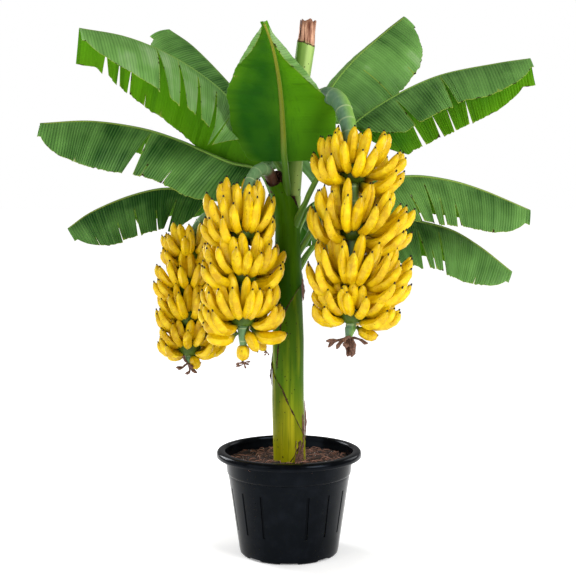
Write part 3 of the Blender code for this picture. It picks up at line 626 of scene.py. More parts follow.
def limb(path, radii, sides):
    """Rings of points round a path, closed by a pole at each end."""
    rings = []
    for point, radius, (a, b) in zip(path, radii, frame_along(path)):
        rings.append([point + (a * math.cos(math.tau * k / sides)
                               + b * math.sin(math.tau * k / sides)) * radius
                      for k in range(sides)])
    return [[path[0]], *rings, [path[-1]]]


def along_stalk(stalk, steps):
    """A smooth path along a stalk and its radius at each step."""
    ends = distances([metres(place) for place, _ in stalk])
    table = [(end, radius) for end, (_, radius) in zip(ends, stalk)]
    return (smooth_path([place for place, _ in stalk], steps),
            [between(table, k / steps * ends[-1])[0] for k in range(steps + 1)])


spout_path, radii = along_stalk(SPOUT, SPOUT_LEVELS)
outer = limb(spout_path, radii, SPOUT_SIDES)[1:-1]
rings = [[(spout_path[0], 0.0, 0.0, 0.0, 0.0)]]
for n, inside in [*((n, 0) for n in range(SPOUT_LEVELS + 1)),
                  *((n, 1) for n in range(SPOUT_LEVELS, CUP_FLOOR + 1, -2))]:
    cut_back = max(0.0, (n - 38) / 22) ** 2
    torn = max(0.0, (n - 55) / 5)
    ring = []
    for p in outer[n]:
        off = p - spout_path[n]
        lip = 0.9 * min(off.y, 0.4 * abs(off.y)) * cut_back
        lip += 0.0025 * noise.noise(p * 90) * cut_back
        p = spout_path[n] + off * (1 - inside * SPOUT_WALL / off.length) + Vector((0, 0, lip))
        # Its margin dries to a line on the right, in front
        edge = math.exp(-((off.x / off.length - 0.80) / 0.09) ** 2) * (off.y < 0) * (n > 26)
        ring.append((p, max(torn, 0.9 * inside, edge * (0.7 + noise.noise(p * 120))),
                     0.0, 0.0, 0.0))
    rings.append(ring)
rings.append([(spout_path[CUP_FLOOR], 0.9, 0.0, 0.0, 0.0)])
fits(turned("torn_sheath_cup", [rings], SHEATH_VALUES, banana_sheath, 50),
     "stem_green", "sheath_spout")

# Leaves: broad blades with a stout midrib and close parallel side veins that run from it to
# the margin. Wind has torn them along the veins. The upper face is waxy and paler, partly its
# own bloom and partly a painted sheen, with painted highlights on the crests of its pleats and
# painted shade in their troughs. Light shines through the thin blade, so the underside glows a
# warm green.
BLUNT_TIP = (2.0, 0.5, 0.25)
NARROW_BASE = 0.10
PETIOLE_RADIUS = 0.0112
RIB_TIP_RADIUS = 0.0026
BLADE_THICKNESS = 0.0012
PLEAT = 0.0088  # from ridge to ridge
BLADE_STEP = PLEAT / 3  # between two columns of points
BLADE_ROWS = 11
ROLL_ROWS = 4
ROLL_RADIUS = 0.16  # as a share of the roll's width
RIB_STEPS = 60
RIB_SIDES = 16
RIB_LEVELS = 90
RIB_END = 0.985


def half(width, droop, slant=(0.0, 0.0), tears=(), widest=0.45, tip=BLUNT_TIP,
         base=NARROW_BASE, curl=None, tone=0.0, ramp=0.16):
    """One half of a blade. droop is in degrees, at the rib and at the margin. slant is how far
    the veins lean towards the tip, at the base and at the tip. A tear is its place, depth and
    gape. From base, the blade widens over ramp; past widest, it falls by the two powers in
    tip to the least width there. curl is where the margin rolls over: from, to, width."""
    return locals()


def leaf_of(blade_from, tone, pleat, rib, left, right):
    """A leaf: where on its rib the blade begins, how light and grey it is, how deep its pleats
    are in mm, its rib from the trunk to the tip in mm, and its halves to the left and right."""
    return locals()


LEAVES = {
    # Its high tone, 0.95, paints its upper face pale as a painted sheen.
    "leaf_upper_left": leaf_of(
        0.16, 0.95, 0.6, ((9, 0, 1090), (-79, 30, 1224), (-172, 52, 1346), (-262, 36, 1421),
            (-365, 5, 1480), (-474, -25, 1520), (-601, -45, 1541)),
        half(0.195, (30, 58), (-0.30, -0.30), (
            (0.235, 0.70, 0.012), (0.366, 0.82, 0.026), (0.470, 0.90, 0.022),
            (0.570, 0.92, 0.022), (0.670, 0.96, 0.034)), 0.52, base=-1.2, ramp=0.27),
        half(0.184, (58, 80), (-0.58, -0.03), (
            (0.583, 0.16, 0.004), (0.670, 0.20, 0.006), (0.757, 0.50, 0.016),
            (0.818, 0.50, 0.018), (0.883, 0.55, 0.034)), 0.18, (4.0, 0.5, 0.58), 0.0, ramp=0.30)),
    "leaf_upper_left_back": leaf_of(
        0.34, 0.50, 1.2, ((10, 16, 1131), (-68, 108, 1257), (-172, 180, 1392), (-292, 255, 1519),
            (-378, 312, 1584)),
        half(0.130, (20, 60), (0.0, 0.30), ((0.40, 0.6, 0.010),), 0.60, (3.0, 0.5, 0.50)),
        half(0.140, (50, 80), (0.0, 0.0), ((0.30, 0.5, 0.012), (0.60, 0.6, 0.012)))),
    "leaf_left": leaf_of(
        0.20, 0.34, 1.3, ((-25, 0, 1014), (-83, 35, 1134), (-173, 65, 1164), (-248, 85, 1195),
            (-327, 90, 1229), (-440, 90, 1264), (-593, 90, 1285), (-741, 70, 1277)),
        half(0.168, (48, 66), (0.16, 0.22), (
            (0.30, 0.35, 0.008), (0.42, 0.30, 0.006), (0.492, 0.94, 0.036), (0.80, 0.12, 0.004)),
            0.46, (3.0, 0.5, 0.30), 0.60),
        half(0.140, (26, 48), (0.12, 0.12), ((0.51, 0.45, 0.014), (0.66, 0.35, 0.010)),
             0.30, base=0.50)),
    "leaf_lower_left": leaf_of(
        0.44, 0.12, 1.1, ((-12, 24, 945), (-95, 140, 1018), (-210, 255, 1052), (-305, 315, 1071),
            (-397, 330, 1086), (-515, 335, 1060), (-637, 335, 1008), (-713, 335, 955)),
        half(0.150, (54, 72), (0.05, 0.05), (
            (0.20, 0.75, 0.014), (0.36, 0.5, 0.012), (0.52, 0.70, 0.014), (0.66, 0.5, 0.010),
            (0.86, 0.3, 0.006)), 0.50, (3.0, 0.5, 0.35)),
        half(0.130, (40, 60), (0.0, 0.0), ((0.35, 0.5, 0.010), (0.58, 0.5, 0.010)))),
    # Its left half takes a lighter tone and its right half a darker one: painted light and painted
    # shade for how the light falls on the two halves.
    "leaf_front": leaf_of(
        0.17, 0.45, 0.15, ((-6, -24, 1066), (-11, -56, 1150), (-17, -80, 1264), (-26, -150, 1374),
            (-43, -255, 1460), (-66, -350, 1516)),
        half(0.152, (-18, -6), (0.0, -0.34), ((0.44, 0.08, 0.012),), 0.32,
             (0.90, 1.42, 0.06), 0.66, (0.42, 0.95, 0.020), 0.35),
        half(0.162, (-18, -6), (-0.02, 0.0), ((0.50, 0.10, 0.016),), 0.40,
             (1.15, 1.05, 0.06), 0.60, (0.58, 0.95, 0.014), -0.30)),
    "leaf_upper_right_back": leaf_of(
        0.24, 0.70, 1.0, ((26, 12, 1180), (66, 72, 1287), (123, 130, 1388), (198, 205, 1480),
            (313, 285, 1583), (366, 325, 1625)),
        half(0.074, (10, 60), (0.1, 0.0), ((0.566, 0.6, 0.010),), 0.61),
        half(0.180, (36, 66), (-0.12, 0.06), ((0.461, 0.75, 0.004), (0.704, 0.2, 0.003)),
             0.48, (2.6, 0.5, 0.28), 0.20, ramp=0.34)),
    "leaf_upper_right": leaf_of(
        0.40, 0.46, 1.2, ((9, -10, 959), (44, -38, 1040), (73, -30, 1099), (131, -5, 1204),
            (196, 15, 1280), (305, 25, 1353), (440, 25, 1414), (600, 10, 1446), (701, 0, 1460)),
        half(0.182, (66, 80), (0.05, 0.10), (
            (0.28, 0.5, 0.024), (0.40, 0.4, 0.022), (0.50, 0.4, 0.016), (0.62, 0.4, 0.022)),
            0.12, (3.0, 0.5, 0.45)),
        half(0.143, (34, 60), (0.10, 0.10), (
            (0.25, 0.85, 0.016), (0.52, 0.92, 0.016), (0.78, 0.12, 0.004)), 0.45,
            (3.0, 0.5, 0.30))),
    "leaf_right": leaf_of(
        0.24, 0.52, 1.2, ((9, 10, 870), (53, 15, 938), (107, 45, 1034), (212, 80, 1100),
            (357, 95, 1123), (473, 100, 1112), (587, 110, 1079), (733, 120, 1018)),
        half(0.130, (50, 70), (0.10, 0.10), ((0.42, 0.6, 0.012), (0.66, 0.4, 0.010)),
             0.40, base=0.30),
        half(0.158, (50, 70), (0.42, 0.20), (
            (0.36, 0.60, 0.010), (0.463, 0.82, 0.018), (0.523, 0.55, 0.010),
            (0.595, 0.50, 0.014), (0.81, 0.15, 0.006)), 0.42, (2.6, 0.5, 0.32), 0.30)),
    "leaf_lower_right": leaf_of(
        0.28, 0.56, 1.1, ((9, 30, 815), (78, 85, 914), (186, 150, 972), (326, 185, 994),
            (485, 200, 964), (590, 210, 908), (698, 210, 824)),
        half(0.120, (50, 70), (0.10, 0.10), ((0.40, 0.6, 0.012), (0.70, 0.4, 0.010)),
             0.40, base=0.30),
        half(0.160, (50, 72), (0.40, 0.25), (
            (0.405, 0.75, 0.022), (0.463, 0.45, 0.010), (0.529, 0.85, 0.018),
            (0.80, 0.2, 0.008)), base=0.30)),
    "leaf_back": leaf_of(
        0.18, 0.40, 1.0, ((12, 15, 1080), (4, 70, 1150), (-4, 170, 1222), (-16, 310, 1262),
            (-30, 440, 1245), (-40, 545, 1180)),
        half(0.135, (30, 62), (0.05, 0.05), ((0.35, 0.5, 0.012), (0.62, 0.6, 0.012))),
        half(0.135, (30, 62), (-0.20, 0.05), ((0.28, 0.6, 0.012), (0.54, 0.5, 0.012)),
             0.45, base=0.80)),
    "leaf_lower_back": leaf_of(
        0.16, 0.30, 1.0, ((10, 30, 900), (36, 105, 985), (75, 190, 1040), (140, 300, 1050),
            (215, 420, 1000), (275, 500, 910)),
        half(0.160, (58, 82), (-0.10, 0.10), ((0.38, 0.5, 0.012), (0.66, 0.5, 0.012)),
             0.40, base=0.60),
        half(0.160, (58, 82), (-0.10, 0.10), ((0.30, 0.6, 0.012), (0.58, 0.4, 0.012)),
             0.40, base=0.60)),
}

MATHS = "ShaderNodeMath"
leaf_blade, tree, shader = new_material("waxy_banana_leaf_blade")
along, across, _ = add(tree, "ShaderNodeSeparateXYZ",
                       [add(tree, "ShaderNodeTexCoord").outputs["UV"]]).outputs
tone, margin, underside = (add(tree, STORED, attribute_name=name).outputs["Fac"]
                           for name in ("tone", "to_margin", "underside"))
drawn_out = add(tree, MATHS, (across, 0.006), operation="MULTIPLY")
vein_place = add(tree, VECTOR, (along, drawn_out, tone))
# The side veins lie about 1 mm apart and are seen as a fine grain along the pleats
veins = speckle(tree, 2.2, 2.0, 0.6, place=vein_place)
bands = speckle(tree, 34, place=vein_place)
cloud = speckle(tree, 120)
turn = add(tree, MATHS, (along, math.tau / PLEAT), operation="MULTIPLY")
uneven = add(tree, MATHS, (bands, 3.0), operation="MULTIPLY")
pleats = add(tree, MATHS, [add(tree, MATHS, (turn, uneven), operation="ADD")], operation="SINE")
# The cloud and band noise give broad patches of lighter and darker tone, partly the leaf's own
# mottling and partly painted sheen and fold shade.
clouded = add(tree, RANGE, (cloud, 0.35, 0.65, -0.15, 0.15))
aged = add(tree, MATHS, (tone, clouded), operation="ADD")
for part in ((cloud, 0.35, 0.65, -0.30, 0.30), (bands, 0.35, 0.65, -0.20, 0.20),
             (margin, 0.0, 0.12, 0.14, -0.22)):
    tone = add(tree, MATHS, (tone, add(tree, RANGE, part)), operation="ADD")
# Painted light on the upper face: pleat crests get a painted highlight, troughs a painted shade,
# and the palest tones, above 1, a painted sheen.
upper = layered(
    tree, "#0a3e10", (tone, -0.1, 1.0, "#7aac58"), (tone, 1.0, 1.6, "#abca92"),
    (pleats, -0.6, 1.0, 0.0, 0.20, "#84b85c"), (pleats, -1.0, -0.2, 0.30, 0.0, "#0b3a14"),
    (veins, 0.45, 0.65, 0.0, 0.12, "#86b56c"))
# The underside takes the leaf's tone with its painted light, and darker bands of painted fold
# shade.
below = layered(
    tree, "#1d5a02", (aged, 0.0, 1.0, "#60a006"), (margin, 0.0, 0.05, 0.50, 0.0, "#64990a"),
    (bands, 0.55, 0.62, 0.0, 0.30, "#1f5206"))
frayed = add(tree, RANGE, (speckle(tree, 14), 0.56, 0.66, 0.0, 0.0030))
green = layered(
    tree, upper, (underside, below), ("from_rib", 0.0, 0.006, 0.55, 0.0, "#8da55a"),
    (margin, 0.0006, 0.0022, 0.70, 0.0, "#a3b345"),
    (add(tree, MATHS, (frayed, margin), operation="GREATER_THAN"), "#3a2512"))
grain = add(tree, MATHS, (
    add(tree, MATHS, (pleats, 0.4), operation="MULTIPLY"), veins), operation="ADD")
feed(tree, shader, {
    "Base Color": green, "Roughness": add(tree, RANGE, (underside, 0.0, 1.0, 0.40, 0.60)),
    "Specular IOR Level": 0.11,
    "Normal": add(tree, BUMP, {"Height": grain, "Distance": 0.00045, "Strength": 0.7})})
glow = add(tree, "ShaderNodeBsdfTranslucent", [layered(tree, green, (0.6, "#6fb00c"))])
through = add(tree, "ShaderNodeMixShader", (0.30, shader, glow))
feed(tree, tree.nodes["Material Output"], [through])

leaf_rib, tree, shader = new_material("banana_leaf_midrib")
streaks = speckle(tree, 4, 3.0, 0.6)
light = layered(tree, "#55822a", (streaks, "#86ac4c"))
olive = layered(tree, "#4c5a0e", (streaks, "#77801c"), ("along", 0.16, 0.30, 1.0, 0.0, "#4f7a22"))
feed(tree, shader, {
    "Base Color": layered(tree, olive, ("upper", light), ("along", 0.5, 1.0, 0.0, 0.5, "#8f8a2a")),
    "Roughness": 0.40, "Specular IOR Level": 0.20})


def outline(blade_half, t):
    """Width of half a blade at t, as a share of its greatest."""
    base = blade_half["base"]
    width = base + (1 - base) * math.sqrt(min(1.0, t / blade_half["ramp"]))
    fall = max(0.0, (t - blade_half["widest"]) / (1 - blade_half["widest"]))
    inner, outer, least = blade_half["tip"]
    return max(0.02, width) * max((1 - fall ** inner) ** outer, least)


def rib_frames(leaf, places):
    """Point, tangent, level right-hand side and downward direction at places on the blade."""
    path = smooth_path(leaf["rib"], RIB_STEPS)
    frames = []
    for t in places:
        place = (leaf["blade_from"] + (1 - leaf["blade_from"]) * t) * RIB_STEPS
        low = min(max(int(place), 0), RIB_STEPS - 1)
        point = path[low].lerp(path[low + 1], place - low)
        tangents = [(path[min(k + 2, RIB_STEPS)] - path[max(k - 1, 0)]).normalized()
                    for k in (low, min(low + 1, RIB_STEPS - 1))]
        tangent = tangents[0].lerp(tangents[1], place - low).normalized()
        side = tangent.cross(Vector((0, 0, 1))).normalized()
        frames.append((point, tangent, side, tangent.cross(side)))
    return frames


def rolled(curl, t, step, here, normal, towards):
    """A point of the rolled margin, which makes half a turn and runs back inwards."""
    roll_from, roll_to, roll_width = curl
    share = min(1.0, max(0.0, (t - roll_from) / (roll_to - roll_from)))
    size = roll_width * math.sin(math.pi * share) ** 0.7 if 0 < share < 1 else 0
    radius = ROLL_RADIUS * size
    angle = math.radians((60, 120, 180, 180)[step])
    here = here + towards * (radius * math.sin(angle) - size * (0.0, 0.0, 0.25, 1.0)[step])
    inner = 1 - 0.25 * (step == ROLL_ROWS - 1)
    here = here - normal * radius * (1 - math.cos(angle)) * inner
    return here, normal * math.cos(angle) + towards * math.sin(angle)


def blade(name, leaf):
    """The rows and faces of both halves of a blade as one sheet, pleated and torn along its
    veins. A row is a point, its normal, its distance from rib and margin, its place along and
    across the blade, and its tone."""
    length = (1 - leaf["blade_from"]) * distances(smooth_path(leaf["rib"], RIB_STEPS))[-1]
    count = round(length / BLADE_STEP)
    places = [k / count for k in range(count + 1)]
    frames = rib_frames(leaf, places)
    tones = [leaf["tone"] + 0.30 * (t - 0.5) for t in places]
    rows = [(point, -down, 0.0, 0.05, t * length, 0.0, tone)
            for (point, _, _, down), t, tone in zip(frames, places, tones)]
    faces = []
    for hand, key in ((-1, "left"), (1, "right")):
        shape = leaf[key]
        tears = {round(tear[0] * count): tear for tear in shape["tears"]}
        ends = [0.0, *[k / count for k in tears], 1.0]
        middles = [(a + b) / 2 for a, b in zip(ends, ends[1:])]
        pick = random.Random(name + key)
        droops = [pick.uniform(-7, 10) for _ in range(len(tears) + 1)]
        seed = pick.uniform(0, 50)
        start, end = (math.radians(a) for a in shape["droop"])
        slant, slant_at_tip = shape["slant"]
        steps = BLADE_ROWS + (ROLL_ROWS if shape["curl"] else 0)
        before = None
        for k, (t, (point, tangent, side, down)) in enumerate(zip(places, frames)):
            off_tear, tear = min(((abs(t - tear[0]), tear) for tear in shape["tears"]),
                                 default=(9, None))
            apex = 1 - tear[1] if tear and off_tear < 0.25 else 1.0
            flowing = droops[0]
            for a, b, low, high in zip(droops, droops[1:], middles, middles[1:]):
                flowing += (b - a) * min(1.0, max(0.0, (t - low) / (high - low)))
            frayed = 1 + 0.022 * noise.noise(Vector((t * length * 90, seed, 0)))
            frayed += 0.02 * noise.noise(Vector((t * length * 24, seed, 3)))
            reach = shape["width"] * outline(shape, t) * frayed
            columns = {}
            for edge in (-1, 1) if k in tears else (0,):
                strip = sum(cut < k for cut in tears) + (edge == 1)
                column = [k]
                for row in range(1, steps + 1):
                    w = min(1.0, row / BLADE_ROWS)
                    uncut = w <= apex + 0.01
                    if edge == 1 and uncut:
                        column.append(columns[-1][row])
                        continue
                    loose = min(1.0, max(0.0, (w - apex) / 0.3))
                    extra = flowing + (droops[strip] - flowing) * loose
                    if edge == -1 and uncut:
                        extra = flowing
                    turn = end + math.radians(extra) - start
                    angle = start + turn * w
                    out = (math.sin(angle) - math.sin(start)) / turn
                    drop = (math.cos(start) - math.cos(angle)) / turn
                    towards = hand * side * math.cos(angle) + down * math.sin(angle)
                    normal = hand * side * math.sin(angle) - down * math.cos(angle)
                    shift = (slant + (slant_at_tip - slant) * t) * reach * w
                    if tear:  # the two sides of a tear stand apart, over a few columns
                        gape = tear[2] / 2 * max(0.0, 1 - off_tear * length / 0.03)
                        sign = edge or (1 if t > tear[0] else -1)
                        shift += sign * gape * max(0.0, w - apex)
                    here = point + reach * (hand * side * out + down * drop) + tangent * shift
                    pleat = 0.0010 * leaf["pleat"] * math.sin(t * length * math.tau / PLEAT + 0.5)
                    wave = 0.009 * noise.noise(Vector((t * length * 11, w * 1.4, seed))) * w
                    wave += 0.0035 * noise.noise(Vector((t * length * 45, w * 1.0, seed + 9))) * w
                    here = here + normal * (pleat + wave)
                    margin = (1 - w) * reach + 0.01 * bool(shape["curl"])
                    shade = tones[k] + shape["tone"] * min(1.0, 3 * w)
                    if row > BLADE_ROWS:
                        here, normal = rolled(shape["curl"], t, row - BLADE_ROWS - 1, here,
                                              normal, towards)
                        margin, shade = 0.01 * (row < steps), tones[k] + 0.6
                    if w > apex:
                        margin = min(margin, off_tear * length)
                    column.append(len(rows))
                    rows.append((here, normal, w * reach, margin, t * length, hand * w * reach,
                                 shade))
                columns[edge] = column
            first, last = (columns[-1], columns[1]) if k in tears else (columns[0],) * 2
            for row in range(steps) if before else ():
                quad = (before[row], first[row], first[row + 1], before[row + 1])
                faces.append(quad[::hand])
            before = last
    return rows, faces


def shell(name, rows, faces, thickness, material):
    """A sheet given its thickness and closed all round, with its veins' places as its UV."""
    points, normals, from_rib, to_margin, u, v, tone = (list(part) for part in zip(*rows))
    count = len(points)
    skin = [p + n * side * thickness / 2 for side in (1, -1) for p, n in zip(points, normals)]
    edges = {(a, b) for face in faces for a, b in zip(face, face[1:] + face[:1])}
    sheet = [tuple(f) for f in faces] + [tuple(k + count for k in reversed(f)) for f in faces]
    rim = [(a, a + count, b + count, b) for face in faces
           for a, b in zip(face, face[1:] + face[:1]) if (b, a) not in edges]
    made = piece(name, skin, sheet + rim, material, 60, from_rib=from_rib * 2,
                 to_margin=to_margin * 2, tone=tone * 2,
                 underside=[0.0] * len(faces) + [1.0] * (len(faces) + len(rim)))
    layer = made.data.uv_layers.new(name="veins")
    for loop in made.data.loops:
        k = loop.vertex_index % count
        layer.uv[loop.index].vector = (u[k], v[k])
    return made


def midrib(name, leaf):
    """Petiole and midrib: a tapering stem with a channel on top, rounded below."""
    start = leaf["blade_from"] / (leaf["blade_from"] - 1)
    places = [start + (RIB_END - start) * k / RIB_LEVELS for k in range(RIB_LEVELS + 1)]
    rings = []
    for t, (point, _, side, down) in zip(places, rib_frames(leaf, places)):
        whole = max(0.0, leaf["blade_from"] + (1 - leaf["blade_from"]) * t)
        radius = PETIOLE_RADIUS + (RIB_TIP_RADIUS - PETIOLE_RADIUS) * whole ** 0.9
        radius *= 1 + 0.25 * max(0.0, 1 - whole / 0.12)
        sunk = radius * 0.62 * min(1.0, max(0.0, (t + 0.05) / 0.1))
        ring = []
        for k in range(RIB_SIDES):
            x, y = math.sin(math.tau * k / RIB_SIDES), math.cos(math.tau * k / RIB_SIDES)
            channel = 0.55 * math.exp(-(x / 0.45) ** 2) if y < 0 else 0.0
            height = y if y > 0 else y * 0.75 + channel
            ring.append((point + down * (sunk + radius * height) + side * radius * x,
                         float(y < 0.35), whole))
        rings.append(ring)
    ends = [[(sum((row[0] for row in ring), Vector()) / RIB_SIDES, 0.0, end)]
            for ring, end in ((rings[0], 0.0), (rings[-1], 1.0))]
    return turned(name, [[ends[0], *rings, ends[1]]], ("upper", "along"), leaf_rib, 60)


for name, leaf in LEAVES.items():
    fits(shell(name + "_blade", *blade(name, leaf), BLADE_THICKNESS, leaf_blade),
         "leaf_green", name)
    fits(midrib(name + "_rib", leaf), "leaf_green", name)

# Fruit stalks: one grows out of the top of the stem for each bunch, arches over and hangs
# under the weight. They are thick, waxy and bluish green, and the right one is painted darker
# and greyer on its left and front sides as painted shade. They are ringed with the scars of
# fallen bracts, and each carries small green crowns that the bananas are set on, painted a very
# dark green that is partly their own colour and partly painted shade among the bananas.
STALKS = {  # path in mm, radius in metres
    "right": (
        ((38, -8, 1215), 0.020), ((68, -26, 1315), 0.024),
        ((102, -58, 1346), 0.025), ((138, -112, 1332), 0.025),
        ((160, -165, 1276), 0.023), ((170, -205, 1205), 0.020),
        ((174, -220, 1140), 0.017), ((174, -220, 900), 0.015),
        ((172, -220, 715), 0.014), ((169, -221, 694), 0.015),
        ((165, -222, 672), 0.009),
    ),
    "middle": (
        ((-40, -24, 1075), 0.0150), ((-50, -36, 1112), 0.0160),
        ((-66, -60, 1136), 0.0175), ((-90, -96, 1132), 0.0180),
        ((-110, -130, 1098), 0.0175), ((-120, -148, 1050), 0.016),
        ((-126, -150, 980), 0.014), ((-128, -150, 820), 0.013),
        ((-130, -150, 690), 0.016), ((-130, -150, 660), 0.013),
        ((-130, -150, 640), 0.010),
    ),
    "back": (
        ((-24, 0, 996), 0.014), ((-75, 26, 1022), 0.014),
        ((-150, 66, 1030), 0.014), ((-222, 94, 1016), 0.013),
        ((-272, 105, 980), 0.012), ((-296, 105, 928), 0.012),
        ((-304, 105, 870), 0.012), ((-304, 105, 740), 0.011),
        ((-304, 105, 590), 0.010), ((-304, 105, 565), 0.014),
        ((-304, 105, 550), 0.009),
    ),
}
SCAR_SPACING = 0.038
STALK_DRIED_TO = {"right": 0.160, "middle": 0.085, "back": 0.030}
# Hands on each stalk, from the top: crown height, reach, rise, the number that each row takes
# a share of, how much further they reach to the right, and how many degrees they dip there
BUNCHES = {
    "right": {"radius": 0.0138, "hands": (
        (1.118, 0.137, 0.111, 19, 0.09, 12), (0.962, 0.147, 0.133, 20, 0.10, 11),
        (0.816, 0.153, 0.130, 21, 0.11, 11), (0.734, 0.124, 0.086, 18, 0.07, 2))},
    "middle": {"radius": 0.0138, "hands": (
        (0.960, 0.106, 0.132, 17, -0.14, 0), (0.839, 0.124, 0.106, 19, -0.03, 0),
        (0.717, 0.124, 0.116, 19, -0.05, 0))},
    "back": {"radius": 0.0124, "hands": (
        (0.880, 0.088, 0.086, 15, 0.03, -4), (0.782, 0.100, 0.100, 16, -0.04, -4),
        (0.685, 0.102, 0.100, 16, -0.04, -2), (0.599, 0.106, 0.082, 16, 0.04, 0))},
}
ROWS = {  # shares of reach and rise, angles at both ends, lift, share of number, gap in front
    "Low": (1.00, 0.36, -42, 74, -0.004, 0.9, 76),
    "Middle": (0.90, 0.74, -10, 86, 0.010, 0.9, 0),
    "High": (0.58, 1.00, 24, 92, 0.018, 0.75, 0)}
STALK_STEPS = 260
STALK_HANGS = 120  # the step from which a stalk hangs down
STALK_SIDES = 28
CROWN_SIDES = 24
CROWN_SHAPE = ((-0.020, 0.60), (-0.012, 0.85), (0.0, 1.0), (0.018, 0.95), (0.034, 0.75),
               (0.050, 0.55))  # height and share of the radius
CROWN_RADIUS = 0.036
CROWN_OFFSET = 0.012  # towards the open side of the hand

fruit_stalk, tree, shader = new_material("waxy_fruit_stalk")
streaks = speckle(tree, 6, 3.0, 0.6, (1, 1, 8))
# The crowns are a very dark green, partly their own colour and partly painted shade among the
# bananas.
grey, crown, brown = (layered(tree, low, (streaks, high)) for low, high in (
    ("#3f6648", "#6f8d70"), ("#1c2f08", "#54701a"), ("#23140f", "#6d4938")))
feed(tree, shader, {
    "Base Color": layered(tree, "#5f8f30", (streaks, "#93ba58"), ("bloom", grey),
                          ("crown", crown), ("scar", "#c3cf9b"), ("dry", brown)),
    "Roughness": 0.42, "Specular IOR Level": 0.20,
    "Normal": add(tree, BUMP, {"Height": streaks, "Distance": 0.0005, "Strength": 0.5})})


for name, stalk in STALKS.items():
    path, radii = along_stalk(stalk, STALK_STEPS)
    length = distances(path)[-1]
    rings, drying = [], []
    for k, radius in enumerate(radii):
        run = k / STALK_STEPS * length
        ring_at = (run + 0.004 * noise.noise(Vector((k / STALK_STEPS * 9, 1, 0)))) % SCAR_SPACING
        scar = math.exp(-((ring_at - 0.5 * SCAR_SPACING) / 0.0012) ** 2) * (run > 0.05)
        radii[k] = radius * (1 + 0.05 * scar)
        drying.append((0.55 * scar, min(1.0, max(0.0, (STALK_DRIED_TO[name] - run) / 0.020))))
    first, *outer, last = limb(path, radii, STALK_SIDES)
    for centre, ring, (scar, dried) in zip(path, outer, drying):
        rings.append([])
        for point in ring:
            outward = (point - centre).normalized()
            # Painted shade: on the right stalk the darker grey grows towards the left and front
            # sides.
            shaded = 0.5 - 0.9 * outward.x - 0.2 * outward.y if name == "right" else 0.75
            rings[-1].append((point, scar, min(1.0, max(0.0, shaded)), dried, 0.0))
    bodies = [[[(*first, 0.0, 0.0, drying[0][1], 0.0)], *rings, [(*last, 0.0, 0.5, 0.6, 0.0)]]]
    for height, *_ in BUNCHES[name]["hands"]:
        here = min(path[STALK_HANGS:], key=lambda p: abs(p.z - height))
        crown_path = [Vector((here.x, here.y - CROWN_OFFSET, height + z)) for z, _ in CROWN_SHAPE]
        crown = limb(crown_path, [CROWN_RADIUS * share for _, share in CROWN_SHAPE], CROWN_SIDES)
        for centre, ring in zip(crown_path, crown[1:-1]):
            for p in ring:
                p += (p - centre) * 0.22 * noise.noise(p * 45)
        bodies.append([[(p, 0.0, 0.0, 0.0, 1.0) for p in ring] for ring in crown])
    fits(turned(f"fruit_stalk_{name}", bodies, ("scar", "bloom", "dry", "crown"), fruit_stalk, 60),
         "stalk_green", "stalk_" + name)

# Bananas: ripe dwarf fruit in hands of three rows. Each is set on the crown by a thin green
# neck, curves out and up, has four soft ridges, and keeps a black nub of its flower.
FINGER_START = 0.020
FINGER_PROFILE = ((0.0, 0.34), (0.10, 0.36), (0.17, 0.58), (0.25, 0.88), (0.38, 1.0),
                  (0.58, 1.02), (0.76, 0.96), (0.87, 0.76), (0.935, 0.46), (0.965, 0.22),
                  (0.985, 0.17), (1.0, 0.16))
FINGER_SIDES = 8

banana_peel, tree, shader = new_material("ripe_banana_peel")
# The paler yellow blotches are partly the peel's own mottling and partly a painted highlight.
blotch = speckle(tree, 26, 3.0, 0.6)
# Painted shade: the peel is painted a darker ochre towards its neck, where the fingers crowd at the
# crown.
yellow = layered(
    tree, "#c09600", ("tone", "#e2ba00"), (blotch, 0.40, 0.75, "#f4d814"),
    ("ridge", 0.0, 1.0, 0.0, 0.35, "#b08a08"),
    (speckle(tree, 5, 2.0, 0.6), 0.66, 0.72, 0.0, 0.85, "#5b3208"),
    ("along", 0.10, 0.42, 0.55, 0.0, "#8a6a04"), ("along", 0.12, 0.26, 1.0, 0.0, "#3c5212"),
    ("along", 0.86, 0.95, 0.0, 0.5, "#a8901c"), ("along", 0.960, 0.972, "#150d08"))
feed(tree, shader, {
    "Base Color": yellow, "Roughness": 0.36, "Specular IOR Level": 0.22,
    "Subsurface Weight": 0.08, "Subsurface Radius": (0.010, 0.006, 0.001),
    "Normal": add(tree, BUMP, {"Height": blotch, "Distance": 0.0005, "Strength": 0.4})})


def banana_body(path, radius, *more):
    """The rings of a banana along a path. Each point keeps its place along the banana, whether
    it lies on a ridge, and any more values."""
    rings = []
    for centre, (s, share), (a, b) in zip(path, FINGER_PROFILE, frame_along(path)):
        ridged = 0.2 < s < 0.9
        ring = []
        for k in range(FINGER_SIDES):
            turn = math.tau * k / FINGER_SIDES
            swell = 1 + 0.07 * math.cos(4 * turn) * ridged
            out = (a * math.cos(turn) + b * math.sin(turn)) * radius * share * swell
            ring.append((centre + out, s, float(ridged and k % 2 == 0), *more))
        rings.append(ring)
    return [[(path[0], 0.0, 0.0, *more)], *rings, [(path[-1], 1.0, 0.0, *more)]]


def curved_banana(name, reach, rise, leaves, ends, radius):
    """One banana of a hand, leaving the crown at the origin towards +X and turning upright."""
    leaves, ends = math.radians(leaves), math.radians(ends)
    path = []
    for s, _ in FINGER_PROFILE:
        angle = leaves + (ends - leaves) * s
        out = (math.sin(angle) - math.sin(leaves)) / (math.sin(ends) - math.sin(leaves))
        up = (math.cos(leaves) - math.cos(angle)) / (math.cos(leaves) - math.cos(ends))
        path.append(Vector((FINGER_START + (reach - FINGER_START) * out, 0, rise * up)))
    return turned(name, [banana_body(path, radius)], ("along", "ridge"), banana_peel, 60)


